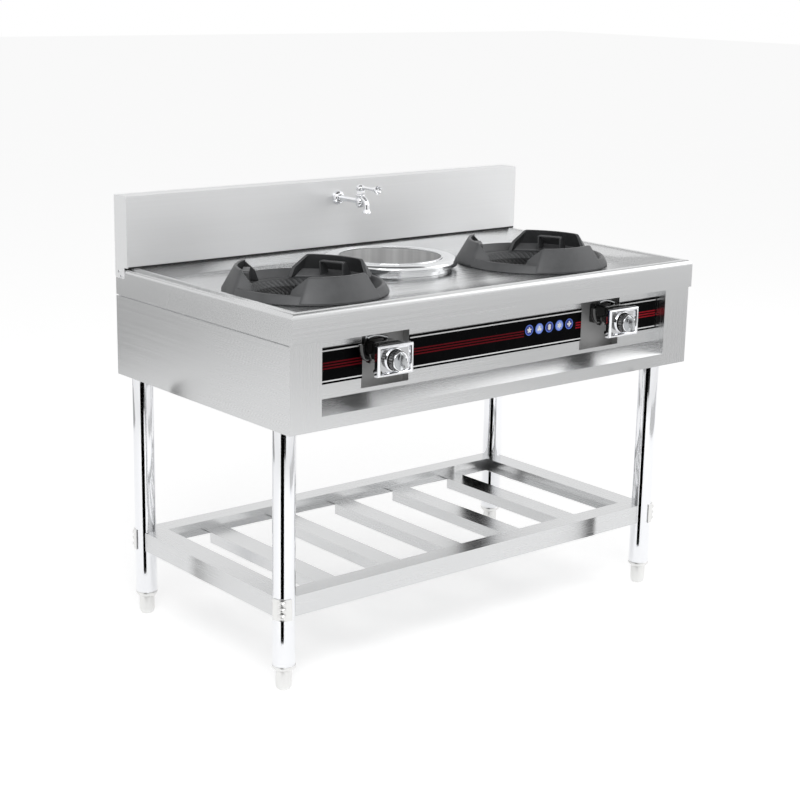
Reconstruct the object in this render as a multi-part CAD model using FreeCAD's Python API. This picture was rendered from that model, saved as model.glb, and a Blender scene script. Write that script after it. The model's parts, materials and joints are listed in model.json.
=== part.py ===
"""Two-burner wok range on four legs, with a pot well, a tap, a backsplash and a slatted shelf.

Millimetres. +X is the cook's right, +Y points to the back, +Z is up. The origin lies on the floor,
at the centre of the space that the range takes up with its knobs.
"""
import FreeCAD, Part
import math
import os

V = FreeCAD.Vector
ACROSS, BACKWARD, UP = V(1, 0, 0), V(0, 1, 0), V(0, 0, 1)
SIDES = {"left": -1, "right": 1}

# ---- overall ---------------------------------------------------------------------------------
length = 1200.0                 # worktop, end to end
depth = 690.0                   # worktop, front to back
worktop_height = 845.0
knob_reach = 55.0               # the knobs stand this far before the apron
inlet_reach = 20.0              # the gas inlet stands this far behind the worktop
front_y = -(depth + knob_reach + inlet_reach) / 2 + knob_reach
back_y = front_y + depth
end_x = length / 2

# ---- clearances ------------------------------------------------------------------------------
running_fit = 0.05              # radial play of a shaft or thread in its bore
loose_gap = 0.3                 # between pieces that lift or slide apart
slip = 0.1                      # radial play of a plug in its tube

# ---- sheet -----------------------------------------------------------------------------------
sheet = 1.5                     # worktop and casing
trim_sheet = 1.2                # backsplash, shelf and pot

# ---- worktop ---------------------------------------------------------------------------------
apron_height = 65.5
apron_round = 12.0
apron_return = 15.0             # flange turned in under the apron
rim_front, rim_end, rim_back = 18.0, 22.0, 2.0
tray_depth = 23.0
tray_slope_front, tray_slope_end, tray_slope_back = 12.0, 42.0, 38.0
apron_z = worktop_height - apron_height
tray_z = worktop_height - tray_depth

# ---- backsplash ------------------------------------------------------------------------------
splash_rise = 164.0
splash_thickness = 53.0
splash_y = back_y - splash_thickness
splash_top = worktop_height + splash_rise
flap_width = 40.0               # ear that laps down over the worktop's end
flap_drop = 26.0
flap_round = 5.0
flap_screw_radius = 3.0
flap_screw_head = 1.6
flap_screws = ((17.0, 10.2), (26.8, 20.5))     # before the rear edge, under the rim

# ---- casing ----------------------------------------------------------------------------------
casing_depth = 254.5            # rim to underside
casing_z = worktop_height - casing_depth
casing_setback = 8.5            # front face behind the apron
casing_y = front_y + casing_setback
stile_width = 81.5
recess_depth = 32.0
rail_height = 29.5
ledge_rise = 27.0
ledge_flange = 20.0
rail_flange = 60.0
shadow_gap = 3.0                # slot between apron and side panel
shadow_depth = 6.0
top_flange = 25.0
back_inset = 1.0                # back panel before the rear edge
panel_y = casing_y + recess_depth
ledge_z = casing_z + rail_height + ledge_rise
opening_x = end_x - stile_width

# ---- pot well --------------------------------------------------------------------------------
pot_flange_radius, pot_roll = 162.5, 12.0
pot_flange_width = 38.5
pot_depth, pot_corner = 150.0, 16.0
pot_hole_gap = 8.0              # tray's hole round the pot
pot_mouth = pot_flange_radius - pot_flange_width
pot_hole = pot_mouth + pot_hole_gap
pot_to_slope = 4.5              # flange before the tray's rear slope
pot_y = splash_y - rim_back - tray_slope_back - pot_to_slope - pot_flange_radius
pot_above_rim = 7.0
pot_top = worktop_height + pot_above_rim
pot_skirt = 18.0                # the rolled flange's height
collar_inset, collar_seat = 12.5, 14.0         # collar under the flange's edge
collar_radius = pot_flange_radius - collar_inset
handle_ring, handle_rod, handle_sides = 24.0, 3.5, 8
handle_x = math.sqrt(pot_flange_radius ** 2 - (handle_ring + handle_rod) ** 2)

# ---- burners ---------------------------------------------------------------------------------
burner_from_front = 300.0
burner_y = front_y + burner_from_front
ring_to_slope = 2.0             # wok ring before the tray's end slope
ring_to_handle = 11.3           # wok ring beside the pot's loop
ring_reach = end_x - rim_end - tray_slope_end - ring_to_slope
loop_reach = ring_reach + handle_ring + handle_rod + ring_to_handle
# The rings' centres lie as far from the end slope as from the pot's loops, less the gaps.
burner_x = ((loop_reach ** 2 - handle_x ** 2 - (pot_y - burner_y) ** 2) / (2 * (loop_reach - handle_x)))
ring_radius = ring_reach - burner_x
ring_height, ring_wall = 25.0, 8.0
ring_top_inset = 6.0
ring_to_bowl = 1.0
ring_step, ring_shoulder = 10.0, 12.5          # heights where the ring's wall steps in
bowl_hole_inset, bowl_gap = 42.0, 1.0
bowl_hole = ring_radius - bowl_hole_inset
bowl_radius = bowl_hole - bowl_gap
bowl_wall, bowl_flange, bowl_flange_thickness = 5.0, 11.0, 3.0
bowl_depth, bowl_throat = 57.0, 68.0
head_radius, head_height, head_base_radius, head_wall = 62.0, 40.0, 40.0, 5.0
head_base_height, head_shoulder = 12.0, 23.0
port_radius, port_circle, ports = 4.0, 40.0, 16
ear_angles = (140.0, 20.0, -100.0)
ear_rise = 31.0                 # above the ring's rim
ear_base_half, ear_top_half = 33.0, 25.0      # degrees
ear_lean = 30.0                 # ear tops inside the ring's edge
ear_wall = 8.0
ear_reach = 92.0                # ribs of an ear, inwards from the ring's edge
pocket_width, pocket_depth, pocket_height, pocket_wall = 57.0, 22.0, 20.0, 5.0
strap_width, strap_thickness, strap_foot = 40.0, 4.0, 25.0
strap_past_hole = 19.0
strap_half_span = bowl_hole + strap_past_hole
pipe_wall = 3.0
chamber_radius, chamber_bore, chamber_rise = 24.0, 17.0, 28.0     # cast elbow under the burner head
throat_radius = 18.0
chamber_flange_radius, chamber_flange_thickness = 34.0, 5.0
mouth_radius, mouth_length, venturi_taper = 26.0, 16.0, 40.0
mouth_from_valve = 30.0
shutter_length, shutter_wall = 12.0, 2.0
air_hole_radius, air_hole_circle, air_holes = 6.0, 15.0, 4
injector_radius, injector_length, injector_hex = 5.0, 34.0, 8.0
injector_hex_length = 10.0

# ---- valves and their controls ---------------------------------------------------------------
valve_under_rim = 122.0
valve_z = worktop_height - valve_under_rim
valve_width, valve_length, valve_edge = 60.0, 135.0, 3.0
valve_under_axis, valve_over_axis = 11.0, 35.0
bezel_width, bezel_height, bezel_thickness, bezel_bevel = 96.0, 66.0, 14.5, 7.0
bezel_hole = 24.0
knob_radius = 22.0
knob_grip_depth, knob_grip_width = 20.0, 12.0
knob_face_y = front_y - knob_reach
bezel_proud = 22.0              # bezel before the apron
bezel_y = front_y - bezel_proud
valve_y = bezel_y + bezel_thickness
stem_radius, stem_in_valve = 5.0, 40.0
stem_short_of_face = 10.0
cutout_width, cutout_height = 130.0, 114.0
cutout_sill = 9.0               # above the ledge
cutout_z = ledge_z + cutout_sill
cutout_shift = 20.0             # cut-out centre towards the middle of the range

# ---- fascia ----------------------------------------------------------------------------------
fascia_under_valve, fascia_height, fascia_thickness = 44.0, 77.0, 3.0
fascia_z = valve_z - fascia_under_valve
fascia_end_gap = 2.0

# ---- gas pipe --------------------------------------------------------------------------------
manifold_radius, manifold_under_valve, manifold_behind_panel = 10.7, 61.0, 49.5
manifold_z = valve_z - manifold_under_valve
manifold_past_valve = 124.0
riser_radius = 8.0
inlet_from_end = 160.0
inlet_x = end_x - inlet_from_end
inlet_radius, inlet_neck_radius = 10.5, 12.0
inlet_collar_radius, inlet_collar_length = 17.0, 12.0
bracket_x, bracket_width, bracket_sheet, bracket_rise = 200.0, 24.0, 2.0, 28.0

# ---- legs and feet ---------------------------------------------------------------------------
leg_radius, leg_wall = 25.0, 1.5
leg_from_end, leg_from_front, leg_from_back = 41.5, 85.0, 41.0
leg_bottom = 59.0
collar_of_foot_radius, collar_of_foot_height, collar_of_foot_low = 26.0, 13.0, 19.5
plug_length = 36.0
socket_plug_length, socket_plate, socket_plate_thickness = 45.0, 76.0, 4.0
foot_radius, foot_tip_radius = 18.0, 9.0
foot_shoulder = 13.0            # height of the tip's taper
foot_stem_radius, foot_stem_length = 8.0, 40.0
leg_x = end_x - leg_from_end
leg_ys = {"front": front_y + leg_from_front, "rear": back_y - leg_from_back}

# ---- shelf -----------------------------------------------------------------------------------
shelf_z, shelf_height = 164.0, 46.0
shelf_past_end, shelf_past_front, shelf_past_rear = 14.0, 9.0, 20.0    # beyond the leg axes
shelf_long_rail, shelf_end_rail, shelf_lip = 49.0, 58.0, 20.0
slat_count, slat_pitch, slat_width, slat_drop = 5, 190.0, 57.0, 27.0
slat_below = 23.0               # slat tops under the frame's top
clamp_thickness, clamp_z, clamp_height, clamp_half_angle = 3.0, 166.0, 48.0, 50.0
clamp_bolt_radius, clamp_bolt_head = 5.0, 4.0
shelf_x = leg_x + shelf_past_end
shelf_ys = {"front": leg_ys["front"] - shelf_past_front, "rear": leg_ys["rear"] + shelf_past_rear}
shelf_top = shelf_z + shelf_height
lip_z = shelf_top - slat_below - trim_sheet

# ---- tap -------------------------------------------------------------------------------------
tap_above_rim = 122.0
tap_z = worktop_height + tap_above_rim
tap_reach = 90.0                # wall to the axis of the tap's body
tap_flange_radius, tap_flange_crest, tap_flange_thickness = 17.0, 11.0, 12.0
tap_arm_radius, tap_arm_end_radius, tap_body_radius = 8.0, 6.5, 12.0
tap_body_under_arm, tap_body_over_arm = 14.0, 17.0
tap_body_top = tap_z + tap_body_over_arm
tap_cap_radius, tap_cap_height = 11.0, 10.0
lever_hub_radius, lever_hub_crest, lever_length = 11.0, 7.0, 68.0
lever_hub_height, lever_hub_shoulder, lever_stem = 14.0, 8.5, 15.0
lever_rod, lever_cup, lever_cup_depth = 4.5, 10.5, 20.0
spout_radius, spout_bend, spout_outlet_radius, spout_sides = 8.0, 20.0, 11.0, 12
spout_forward, spout_under_arm, spout_outlet_height, spout_flare = 5.0, 26.0, 8.0, 6.0
supply_radius, supply_wall, supply_from_back, supply_over_casing = 8.0, 2.0, 34.0, 9.5
supply_nut_radius, supply_nut_height = 13.0, 10.0
supply_thread_radius, supply_thread_length = 10.3, 16.0
tap_y = splash_y - tap_reach
supply_y = back_y - supply_from_back
supply_bottom = casing_z + supply_over_casing


# ---- helpers ---------------------------------------------------------------------------------
def block(xs, ys, zs):
    """A box between two values on each axis."""
    low = V(min(xs), min(ys), min(zs))
    return Part.makeBox(max(xs) - low.x, max(ys) - low.y, max(zs) - low.z, low)


def rod(radius, start, run):
    """A cylinder from a point along a vector."""
    return Part.makeCylinder(radius, run.Length, start, run)


def face_through(points):
    """A flat face bounded by straight lines through the points."""
    return Part.Face(Part.makePolygon(points + points[:1]))


def turned(profile, centre, axis=UP, degrees=360.0, across=ACROSS):
    """A profile of (radius, height) pairs turned about an axis through a centre."""
    points = [centre + across * radius + axis * height for radius, height in profile]
    return face_through(points).revolve(centre, axis, degrees)


def offset_line(line, gap):
    """The open line moved to its left, with its corners mitred."""
    moved = []
    for i, (a, b) in enumerate(line):
        normals = []
        for (a0, b0), (a1, b1) in zip(line[max(i - 1, 0):i + 1], line[max(i, 1):i + 2]):
            size = math.hypot(a1 - a0, b1 - b0)
            normals.append(((b0 - b1) / size, (a1 - a0) / size))
        first, last = normals[0], normals[-1]
        share = gap / (1 + first[0] * last[0] + first[1] * last[1]) if len(normals) > 1 else gap / 2
        moved.append((a + share * (first[0] + last[0]), b + share * (first[1] + last[1])))
    return moved


def folded(line, thickness, place, run):
    """A folded sheet: the open line of one face, thickened to its left and run along a vector."""
    corners = line + offset_line(line, thickness)[::-1]
    return face_through([place(a, b) for a, b in corners]).extrude(run)


def mirrored(shape):
    """The same piece for the other end of the range."""
    return shape.mirror(V(0, 0, 0), ACROSS)


def for_side(side, shape):
    """A piece modelled at the right-hand end, or its mirror image on the left."""
    return shape if SIDES[side] > 0 else mirrored(shape)


def each_leg():
    """The names and axes of the four legs."""
    for end, y in leg_ys.items():
        for side, sign in SIDES.items():
            yield end + "_" + side, V(sign * leg_x, y, 0)


def grouped(shapes):
    """Equal pieces that share one node."""
    return Part.makeCompound(shapes)


def prism(sides, radius, start, run, across):
    """A regular prism from a point along a vector, one corner towards a direction."""
    corners = [start + FreeCAD.Rotation(run, 360.0 * i / sides).multVec(across) * radius
               for i in range(sides)]
    return face_through(corners).extrude(run)


def bent(sides, radius, start, along, axis_point, axis, degrees):
    """A bar of regular section swept round an axis."""
    across = along.cross(axis)
    corners = [start + FreeCAD.Rotation(along, 360.0 * (i + 0.5) / sides).multVec(across) * radius
               for i in range(sides)]
    return face_through(corners).revolve(axis_point, axis, degrees)


# ---- worktop and backsplash ------------------------------------------------------------------
def rounded_slab(inset, top, bottom, radius):
    """The worktop's outside, moved in by an inset, with its front and end edges rounded."""
    slab = block((-end_x + inset, end_x - inset), (front_y + inset, back_y - inset), (bottom, top))
    edges = []
    for edge in slab.Edges:
        middle = edge.BoundBox.Center
        if abs(middle.z - top) < 1e-6 and middle.y < back_y - inset - 1e-6:
            edges.append(edge)
    return slab.makeFillet(radius, edges)


def tray_block(top_z, floor_z, grow):
    """The tray's hollow as a tapered block, grown sideways by a margin."""
    def corners(half_x, low_y, high_y, z):
        return [V(-half_x, low_y, z), V(half_x, low_y, z), V(half_x, high_y, z), V(-half_x, high_y, z)]
    rear = splash_y - rim_back
    rim = corners(end_x - rim_end + grow, front_y + rim_front - grow, rear + grow, top_z)
    floor = corners(end_x - rim_end - tray_slope_end + grow, front_y + rim_front + tray_slope_front - grow,
                    rear - tray_slope_back + grow, floor_z)
    wires = [Part.makePolygon(loop + loop[:1]) for loop in (rim, floor)]
    return Part.makeLoft(wires, True, True)


def cooktop():
    shell = rounded_slab(0, worktop_height, apron_z, apron_round)
    hollow = rounded_slab(sheet, worktop_height - sheet, apron_z - sheet, apron_round - sheet)
    mouth = block((-end_x + apron_return, end_x - apron_return),
                  (front_y + apron_return, back_y - apron_return), (apron_z - 1, apron_z + sheet))
    flange = block((-end_x, end_x), (front_y, back_y), (apron_z, apron_z + sheet)).cut(mouth)
    top = shell.cut(hollow).fuse(flange).fuse(tray_block(worktop_height, tray_z - sheet, 2 * sheet))
    top = top.cut(tray_block(worktop_height, tray_z, 0))
    for sign in SIDES.values():
        top = top.cut(rod(bowl_hole, V(sign * burner_x, burner_y, tray_z - 2 * sheet), UP * (4 * sheet)))
    top = top.cut(rod(pot_hole, V(0, pot_y, tray_z - 2 * sheet), UP * (4 * sheet)))
    top = top.cut(rod(supply_radius + 1, V(0, supply_y, worktop_height - 2 * sheet), UP * (4 * sheet)))
    return top.removeSplitter()


def backsplash():
    half = end_x + trim_sheet
    outside = block((-half, half), (splash_y, back_y), (worktop_height, splash_top))
    inside = block((-end_x, end_x), (splash_y + trim_sheet, back_y - trim_sheet),
                   (worktop_height - 1, splash_top - trim_sheet))
    splash = outside.cut(inside)
    flap = block((end_x, half), (back_y - flap_width, back_y),
                 (worktop_height - flap_drop, worktop_height + trim_sheet))
    corners = [e for e in flap.Edges if e.BoundBox.ZLength < 1e-6 and e.BoundBox.YLength < 1e-6
               and e.BoundBox.Center.z < worktop_height - 1]
    flap = flap.makeFillet(flap_round, corners)
    splash = splash.fuse(flap).fuse(mirrored(flap))
    hole = rod(supply_radius + slip, V(0, splash_y - 1, tap_z), BACKWARD * (trim_sheet + 2))
    return splash.cut(hole).removeSplitter()


def backsplash_screws():
    screws = []
    for inset, drop in flap_screws:
        head = rod(flap_screw_radius, V(end_x + trim_sheet, back_y - inset, worktop_height - drop),
                   ACROSS * flap_screw_head)
        screws += [head, mirrored(head)]
    return grouped(screws)


# ---- casing ----------------------------------------------------------------------------------
def side_panel(side):
    start = casing_y + sheet
    shadow_z = apron_z - shadow_gap
    riser_x = end_x - shadow_depth
    line = [(opening_x, casing_z), (end_x, casing_z), (end_x, shadow_z), (riser_x, shadow_z),
            (riser_x, apron_z), (riser_x - top_flange, apron_z)]
    panel = folded(line, sheet, lambda x, z: V(x, start, z), BACKWARD * (back_y - start))
    for y in leg_ys.values():
        panel = panel.cut(rod(leg_radius - leg_wall, V(leg_x, y, casing_z - 1), UP * (sheet + 2)))
    return for_side(side, panel)


def back_panel():
    half = end_x - shadow_depth - sheet
    panel = block((-half, half), (back_y - back_inset - sheet, back_y - back_inset),
                  (casing_z + sheet, apron_z - sheet))
    return panel.cut(rod(inlet_neck_radius + slip, V(inlet_x, back_y - back_inset - 2 * sheet, manifold_z),
                         BACKWARD * (3 * sheet)))


def front_stile(side):
    line = [(end_x, casing_y), (opening_x, casing_y), (opening_x, panel_y + sheet)]
    stile = folded(line, -sheet, lambda x, y: V(x, y, casing_z), UP * (apron_z - casing_z))
    over_flange = block((opening_x, end_x), (casing_y + sheet, panel_y + sheet), (casing_z, casing_z + sheet))
    return for_side(side, stile.cut(over_flange))


def front_ledge():
    line = [(casing_y + rail_flange, casing_z), (casing_y, casing_z), (casing_y, casing_z + rail_height),
            (panel_y, ledge_z), (panel_y + ledge_flange, ledge_z)]
    return folded(line, -sheet, lambda y, z: V(-opening_x, y, z), ACROSS * (2 * opening_x))


def cutout_centre(sign):
    """Middle of a valve's cut-out, across the range."""
    return sign * (burner_x - cutout_shift)


def control_panel():
    panel = block((-opening_x, opening_x), (panel_y, panel_y + sheet), (ledge_z, tray_z - sheet))
    for sign in SIDES.values():
        middle = cutout_centre(sign)
        panel = panel.cut(block((middle - cutout_width / 2, middle + cutout_width / 2),
                                (panel_y - 1, panel_y + sheet + 1), (cutout_z, cutout_z + cutout_height)))
    return panel


def fascia_strips():
    inner = burner_x - cutout_shift - cutout_width / 2
    outer = burner_x - cutout_shift + cutout_width / 2
    spans = ((-opening_x + fascia_end_gap, -outer), (-inner, inner), (outer, opening_x - fascia_end_gap))
    return grouped([block(span, (panel_y - fascia_thickness, panel_y), (fascia_z, fascia_z + fascia_height))
                    for span in spans])


# ---- legs and feet ---------------------------------------------------------------------------
def leg(axis):
    run = UP * (casing_z - leg_bottom)
    bottom = axis + UP * leg_bottom
    return rod(leg_radius, bottom, run).cut(rod(leg_radius - leg_wall, bottom, run))


def leg_sockets():
    sockets = []
    for _, axis in each_leg():
        seat = casing_z + sheet
        half = socket_plate / 2
        plate = block((axis.x - half, axis.x + half), (axis.y - half, axis.y + half),
                      (seat, seat + socket_plate_thickness))
        plug = rod(leg_radius - leg_wall - slip, axis + UP * (casing_z - socket_plug_length),
                   UP * (socket_plug_length + sheet))
        sockets.append(plate.fuse(plug).removeSplitter())
    return grouped(sockets)


def foot_inserts():
    inserts = []
    for _, axis in each_leg():
        low = leg_bottom - collar_of_foot_height
        bore = foot_stem_radius + running_fit
        plug = leg_radius - leg_wall - slip
        profile = [(bore, low), (collar_of_foot_low, low), (collar_of_foot_radius, (low + leg_bottom) / 2),
                   (collar_of_foot_radius, leg_bottom), (plug, leg_bottom), (plug, leg_bottom + plug_length),
                   (bore, leg_bottom + plug_length)]
        inserts.append(turned(profile, axis))
    return grouped(inserts)


def foot(axis):
    top = leg_bottom - collar_of_foot_height - loose_gap
    profile = [(0, 0), (foot_tip_radius, 0), (foot_radius, foot_shoulder), (foot_radius, top),
               (foot_stem_radius, top),
               (foot_stem_radius, top + foot_stem_length), (0, top + foot_stem_length)]
    return turned(profile, axis)


# ---- shelf -----------------------------------------------------------------------------------
def leg_notches():
    """Round cuts that let the shelf sit against its legs."""
    return grouped([rod(leg_radius + slip, axis + UP * (shelf_z - 1), UP * (shelf_height + 2))
                    for _, axis in each_leg()])


def mitred(half_long, half_short, half_inner, outer, inner, lip):
    """The ground that one rail covers: a trapezoid with a step at the lip, drawn for one side."""
    return [(-half_long, outer), (half_long, outer), (half_short, inner), (half_inner, lip),
            (-half_inner, lip), (-half_short, inner)]


def rail_section(outer, turn, width):
    """Line of a rail's outside, outer wall first, ending in the lip that carries the slats."""
    inner = outer + turn * width
    return [(outer, shelf_z), (outer, shelf_top), (inner, shelf_top), (inner, lip_z),
            (inner + turn * shelf_lip, lip_z)]


def shelf_rail(section, turn, place, run, ground):
    """One shelf rail: a folded sheet, mitred to its ground and cut round the legs."""
    rail = folded(section, -turn * trim_sheet, place, run)
    region = face_through([V(x, y, shelf_z - 1) for x, y in ground]).extrude(UP * (shelf_height + 2))
    return rail.common(region).cut(leg_notches())


def shelf_long_rails():
    rails = {}
    for end, turn in (("front", 1), ("rear", -1)):
        outer = shelf_ys[end]
        inner = outer + turn * shelf_long_rail
        ground = mitred(shelf_x, shelf_x - shelf_end_rail, shelf_x - shelf_end_rail - shelf_lip,
                        outer, inner, inner + turn * shelf_lip)
        rails[end] = shelf_rail(rail_section(outer, turn, shelf_long_rail), turn,
                                lambda y, z: V(-shelf_x, y, z), ACROSS * (2 * shelf_x), ground)
    return rails


def shelf_end_rail_piece(side):
    front, rear = shelf_ys["front"], shelf_ys["rear"]
    inner = shelf_x - shelf_end_rail
    ground = [(shelf_x, front), (shelf_x, rear), (inner, rear - shelf_long_rail),
              (inner - shelf_lip, rear - shelf_long_rail - shelf_lip),
              (inner - shelf_lip, front + shelf_long_rail + shelf_lip), (inner, front + shelf_long_rail)]
    rail = shelf_rail(rail_section(shelf_x, -1, shelf_end_rail), -1, lambda x, z: V(x, front, z),
                      BACKWARD * (rear - front), ground)
    return for_side(side, rail)


def shelf_slats():
    """Inverted channels whose webs lie on the lips and whose walls end just before them."""
    start = shelf_ys["front"] + shelf_long_rail + loose_gap
    stop = shelf_ys["rear"] - shelf_long_rail - loose_gap
    slats = []
    for i in range(slat_count):
        middle = (i - (slat_count - 1) / 2) * slat_pitch
        left, right = middle - slat_width / 2, middle + slat_width / 2
        web = block((left, right), (start, stop), (lip_z, lip_z + trim_sheet))
        bottom = lip_z + trim_sheet - slat_drop
        walls = [block(xs, (start + shelf_lip, stop - shelf_lip), (bottom, lip_z))
                 for xs in ((left, left + trim_sheet), (right - trim_sheet, right))]
        slats.append(web.fuse(walls).removeSplitter())
    return grouped(slats)


def outward(axis):
    """Level unit vector from the middle of the shelf to a leg, along the corner's diagonal."""
    middle = (leg_ys["front"] + leg_ys["rear"]) / 2
    return V(math.copysign(1, axis.x), math.copysign(1, axis.y - middle), 0).normalize()


def shelf_clamps():
    clamps = []
    for _, axis in each_leg():
        start = FreeCAD.Rotation(UP, -clamp_half_angle).multVec(outward(axis))
        inner = leg_radius + slip
        profile = [(inner, 0), (inner + clamp_thickness, 0), (inner + clamp_thickness, clamp_height),
                   (inner, clamp_height)]
        clamps.append(turned(profile, axis + UP * clamp_z, UP, 2 * clamp_half_angle, start))
    return grouped(clamps)


def shelf_clamp_bolts():
    bolts = []
    for _, axis in each_leg():
        way = outward(axis)
        start = axis + way * (leg_radius + slip + clamp_thickness) + UP * (clamp_z + clamp_height / 2)
        bolts.append(rod(clamp_bolt_radius, start, way * clamp_bolt_head))
    return grouped(bolts)


# ---- burners ---------------------------------------------------------------------------------
def burner_centre(side):
    return V(SIDES[side] * burner_x, burner_y, 0)


def burner_bowl(side):
    flange_top = bowl_flange_thickness
    outer, inner = bowl_radius, bowl_radius - bowl_wall
    profile = [(outer, 0), (outer + bowl_flange, 0), (outer + bowl_flange, flange_top),
               (inner, flange_top), (bowl_throat, -bowl_depth + bowl_wall), (bowl_throat, -bowl_depth),
               (bowl_throat + bowl_wall, -bowl_depth)]
    return turned(profile, burner_centre(side) + UP * tray_z)


def ear(angle):
    """One ear of a wok ring: a leaning wall with two side ribs and a low pocket, open to the bowl."""
    base, top = ring_height, ring_height + ear_rise
    outer_base = ring_radius - ring_top_inset
    outer_top = ring_radius - ear_lean
    rib_end = ring_radius - ear_reach
    base_half = outer_base * math.sin(math.radians(ear_base_half))
    top_half = outer_top * math.sin(math.radians(ear_top_half))
    lean = [(outer_base, base), (outer_top, top), (rib_end + ear_wall, base + ear_wall),
            (rib_end, base - ear_wall), (outer_base, base - ear_wall)]
    spread = math.radians(ear_base_half + 10)
    wedge = turned(lean, V(0, 0, 0), UP, math.degrees(2 * spread), V(math.cos(spread), -math.sin(spread), 0))
    gable = face_through([V(0, -base_half, base), V(0, base_half, base), V(0, top_half, top),
                          V(0, -top_half, top)]).extrude(ACROSS * ring_radius)
    skirt = block((0, ring_radius), (-base_half, base_half), (base - ear_wall, base))
    solid = wedge.common(gable.fuse(skirt))
    slope = (base_half - top_half) / ear_rise
    hollow_half = base_half - ear_wall
    hollow = face_through([V(0, -hollow_half - slope * ear_wall, base - ear_wall - 1),
                           V(0, hollow_half + slope * ear_wall, base - ear_wall - 1),
                           V(0, top_half - ear_wall, top + 1), V(0, -top_half + ear_wall, top + 1)])
    hollow = hollow.extrude(ACROSS * ring_radius)
    inner = [(0, base - ear_wall - 1), (outer_base - ear_wall, base - ear_wall - 1),
             (outer_base - ear_wall, base), (outer_top - ear_wall, top + 1), (0, top + 1)]
    hollow = hollow.common(turned(inner, V(0, 0, 0)))
    back = outer_base - 2 * ear_wall
    pocket = block((back - pocket_depth, back + ear_wall / 2), (-pocket_width / 2, pocket_width / 2),
                   (base - ear_wall, base - ear_wall + pocket_height))
    room = block((back - pocket_depth - 1, back - pocket_wall),
                 (-pocket_width / 2 + pocket_wall, pocket_width / 2 - pocket_wall),
                 (base - ear_wall - 1, base - ear_wall + pocket_height + 1))
    return solid.cut(hollow).fuse(pocket.cut(room)).rotate(V(0, 0, 0), UP, angle)


def wok_ring(side):
    inner = bowl_radius + bowl_flange + ring_to_bowl
    profile = [(inner, 0), (ring_radius, 0), (ring_radius, ring_step),
               (ring_radius - ring_top_inset / 2, ring_shoulder),
               (ring_radius - ring_top_inset, ring_height),
               (ring_radius - ring_top_inset - ring_wall, ring_height),
               (ring_radius - 2 * ring_wall, ring_step), (inner, ring_wall)]
    ring = turned(profile, V(0, 0, 0))
    for angle in ear_angles:
        ring = ring.fuse(ear(angle))
    ring = ring.removeSplitter()
    ring.translate(burner_centre(side) + UP * (tray_z + loose_gap))
    return ring


def strap_z():
    """Top face of the strap that carries a burner head."""
    return valve_z + chamber_rise + chamber_flange_thickness + strap_thickness


def burner_straps():
    straps = []
    for side in SIDES:
        centre = burner_centre(side)
        top, seat = strap_z(), tray_z - sheet
        line = [(-strap_half_span - strap_foot, seat), (-strap_half_span, seat), (-strap_half_span, top),
                (strap_half_span, top), (strap_half_span, seat), (strap_half_span + strap_foot, seat)]
        strap = folded(line, -strap_thickness, lambda x, z: V(centre.x + x, centre.y - strap_width / 2, z),
                       BACKWARD * strap_width)
        hole = rod(chamber_bore, centre + UP * (top - strap_thickness - 1),
                   UP * (strap_thickness + 2))
        straps.append(strap.cut(hole))
    return grouped(straps)


def burner_head(side):
    """A cast mushroom: a hollow cap with a ring of ports on a narrower foot."""
    inner, roof = head_radius - 2 * head_wall, head_height - head_wall
    profile = [(chamber_bore, 0), (head_base_radius, 0), (head_base_radius, head_base_height),
               (head_radius, head_shoulder), (head_radius, roof), (head_radius - head_wall, head_height),
               (0, head_height), (0, roof), (inner, roof), (inner, head_shoulder),
               (chamber_bore, head_shoulder)]
    centre = burner_centre(side) + UP * strap_z()
    head = turned(profile, centre)
    holes = []
    for i in range(ports):
        way = FreeCAD.Rotation(UP, 360.0 * i / ports).multVec(ACROSS)
        holes.append(prism(6, port_radius, centre + way * port_circle + UP * (roof - 1),
                           UP * (head_wall + 2), way))
    return head.cut(grouped(holes))


def mouth_y():
    """Front end of the mixing tube, before the burner."""
    return valve_y + valve_length + mouth_from_valve


def air_holes_through(centre, run):
    """Six-sided air holes on a circle, with a round one for the injector in the middle."""
    holes = [rod(injector_radius + 1, centre, run)]
    for i in range(air_holes):
        way = FreeCAD.Rotation(BACKWARD, 360.0 * i / air_holes).multVec(UP)
        holes.append(prism(6, air_hole_radius, centre + way * air_hole_circle, run, way))
    return grouped(holes)


def venturi(side):
    """The mixing tube, its narrow throat and the cast chamber that turns the gas upwards."""
    centre = V(SIDES[side] * burner_x, mouth_y(), valve_z)
    reach = burner_y - mouth_y()
    neck = mouth_length + venturi_taper
    outline = [(0, 0), (mouth_radius, 0), (mouth_radius, mouth_length), (throat_radius, neck),
               (throat_radius, reach), (0, reach)]
    core = [(0, pipe_wall), (mouth_radius - pipe_wall, pipe_wall), (mouth_radius - pipe_wall, mouth_length),
            (throat_radius - pipe_wall, neck), (throat_radius - pipe_wall, reach), (0, reach)]
    under = V(centre.x, burner_y, valve_z - chamber_radius)
    rise = chamber_radius + chamber_rise
    flange = rod(chamber_flange_radius, under + UP * rise, UP * chamber_flange_thickness)
    tube = turned(outline, centre, BACKWARD).fuse([rod(chamber_radius, under, UP * rise), flange])
    well = rod(chamber_bore, under + UP * pipe_wall, UP * (rise + chamber_flange_thickness))
    tube = tube.cut([turned(core, centre, BACKWARD), well,
                     air_holes_through(centre - BACKWARD, BACKWARD * (pipe_wall + 2))])
    return tube.removeSplitter()


def air_shutter(side):
    centre = V(SIDES[side] * burner_x, mouth_y() - loose_gap, valve_z)
    inner = mouth_radius + running_fit
    profile = [(0, 0), (inner, 0), (inner, shutter_length), (inner + shutter_wall, shutter_length),
               (inner + shutter_wall, -shutter_wall), (0, -shutter_wall)]
    cap = turned(profile, centre, BACKWARD)
    return cap.cut(air_holes_through(centre - BACKWARD * (shutter_wall + 1), BACKWARD * (shutter_wall + 2)))


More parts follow.
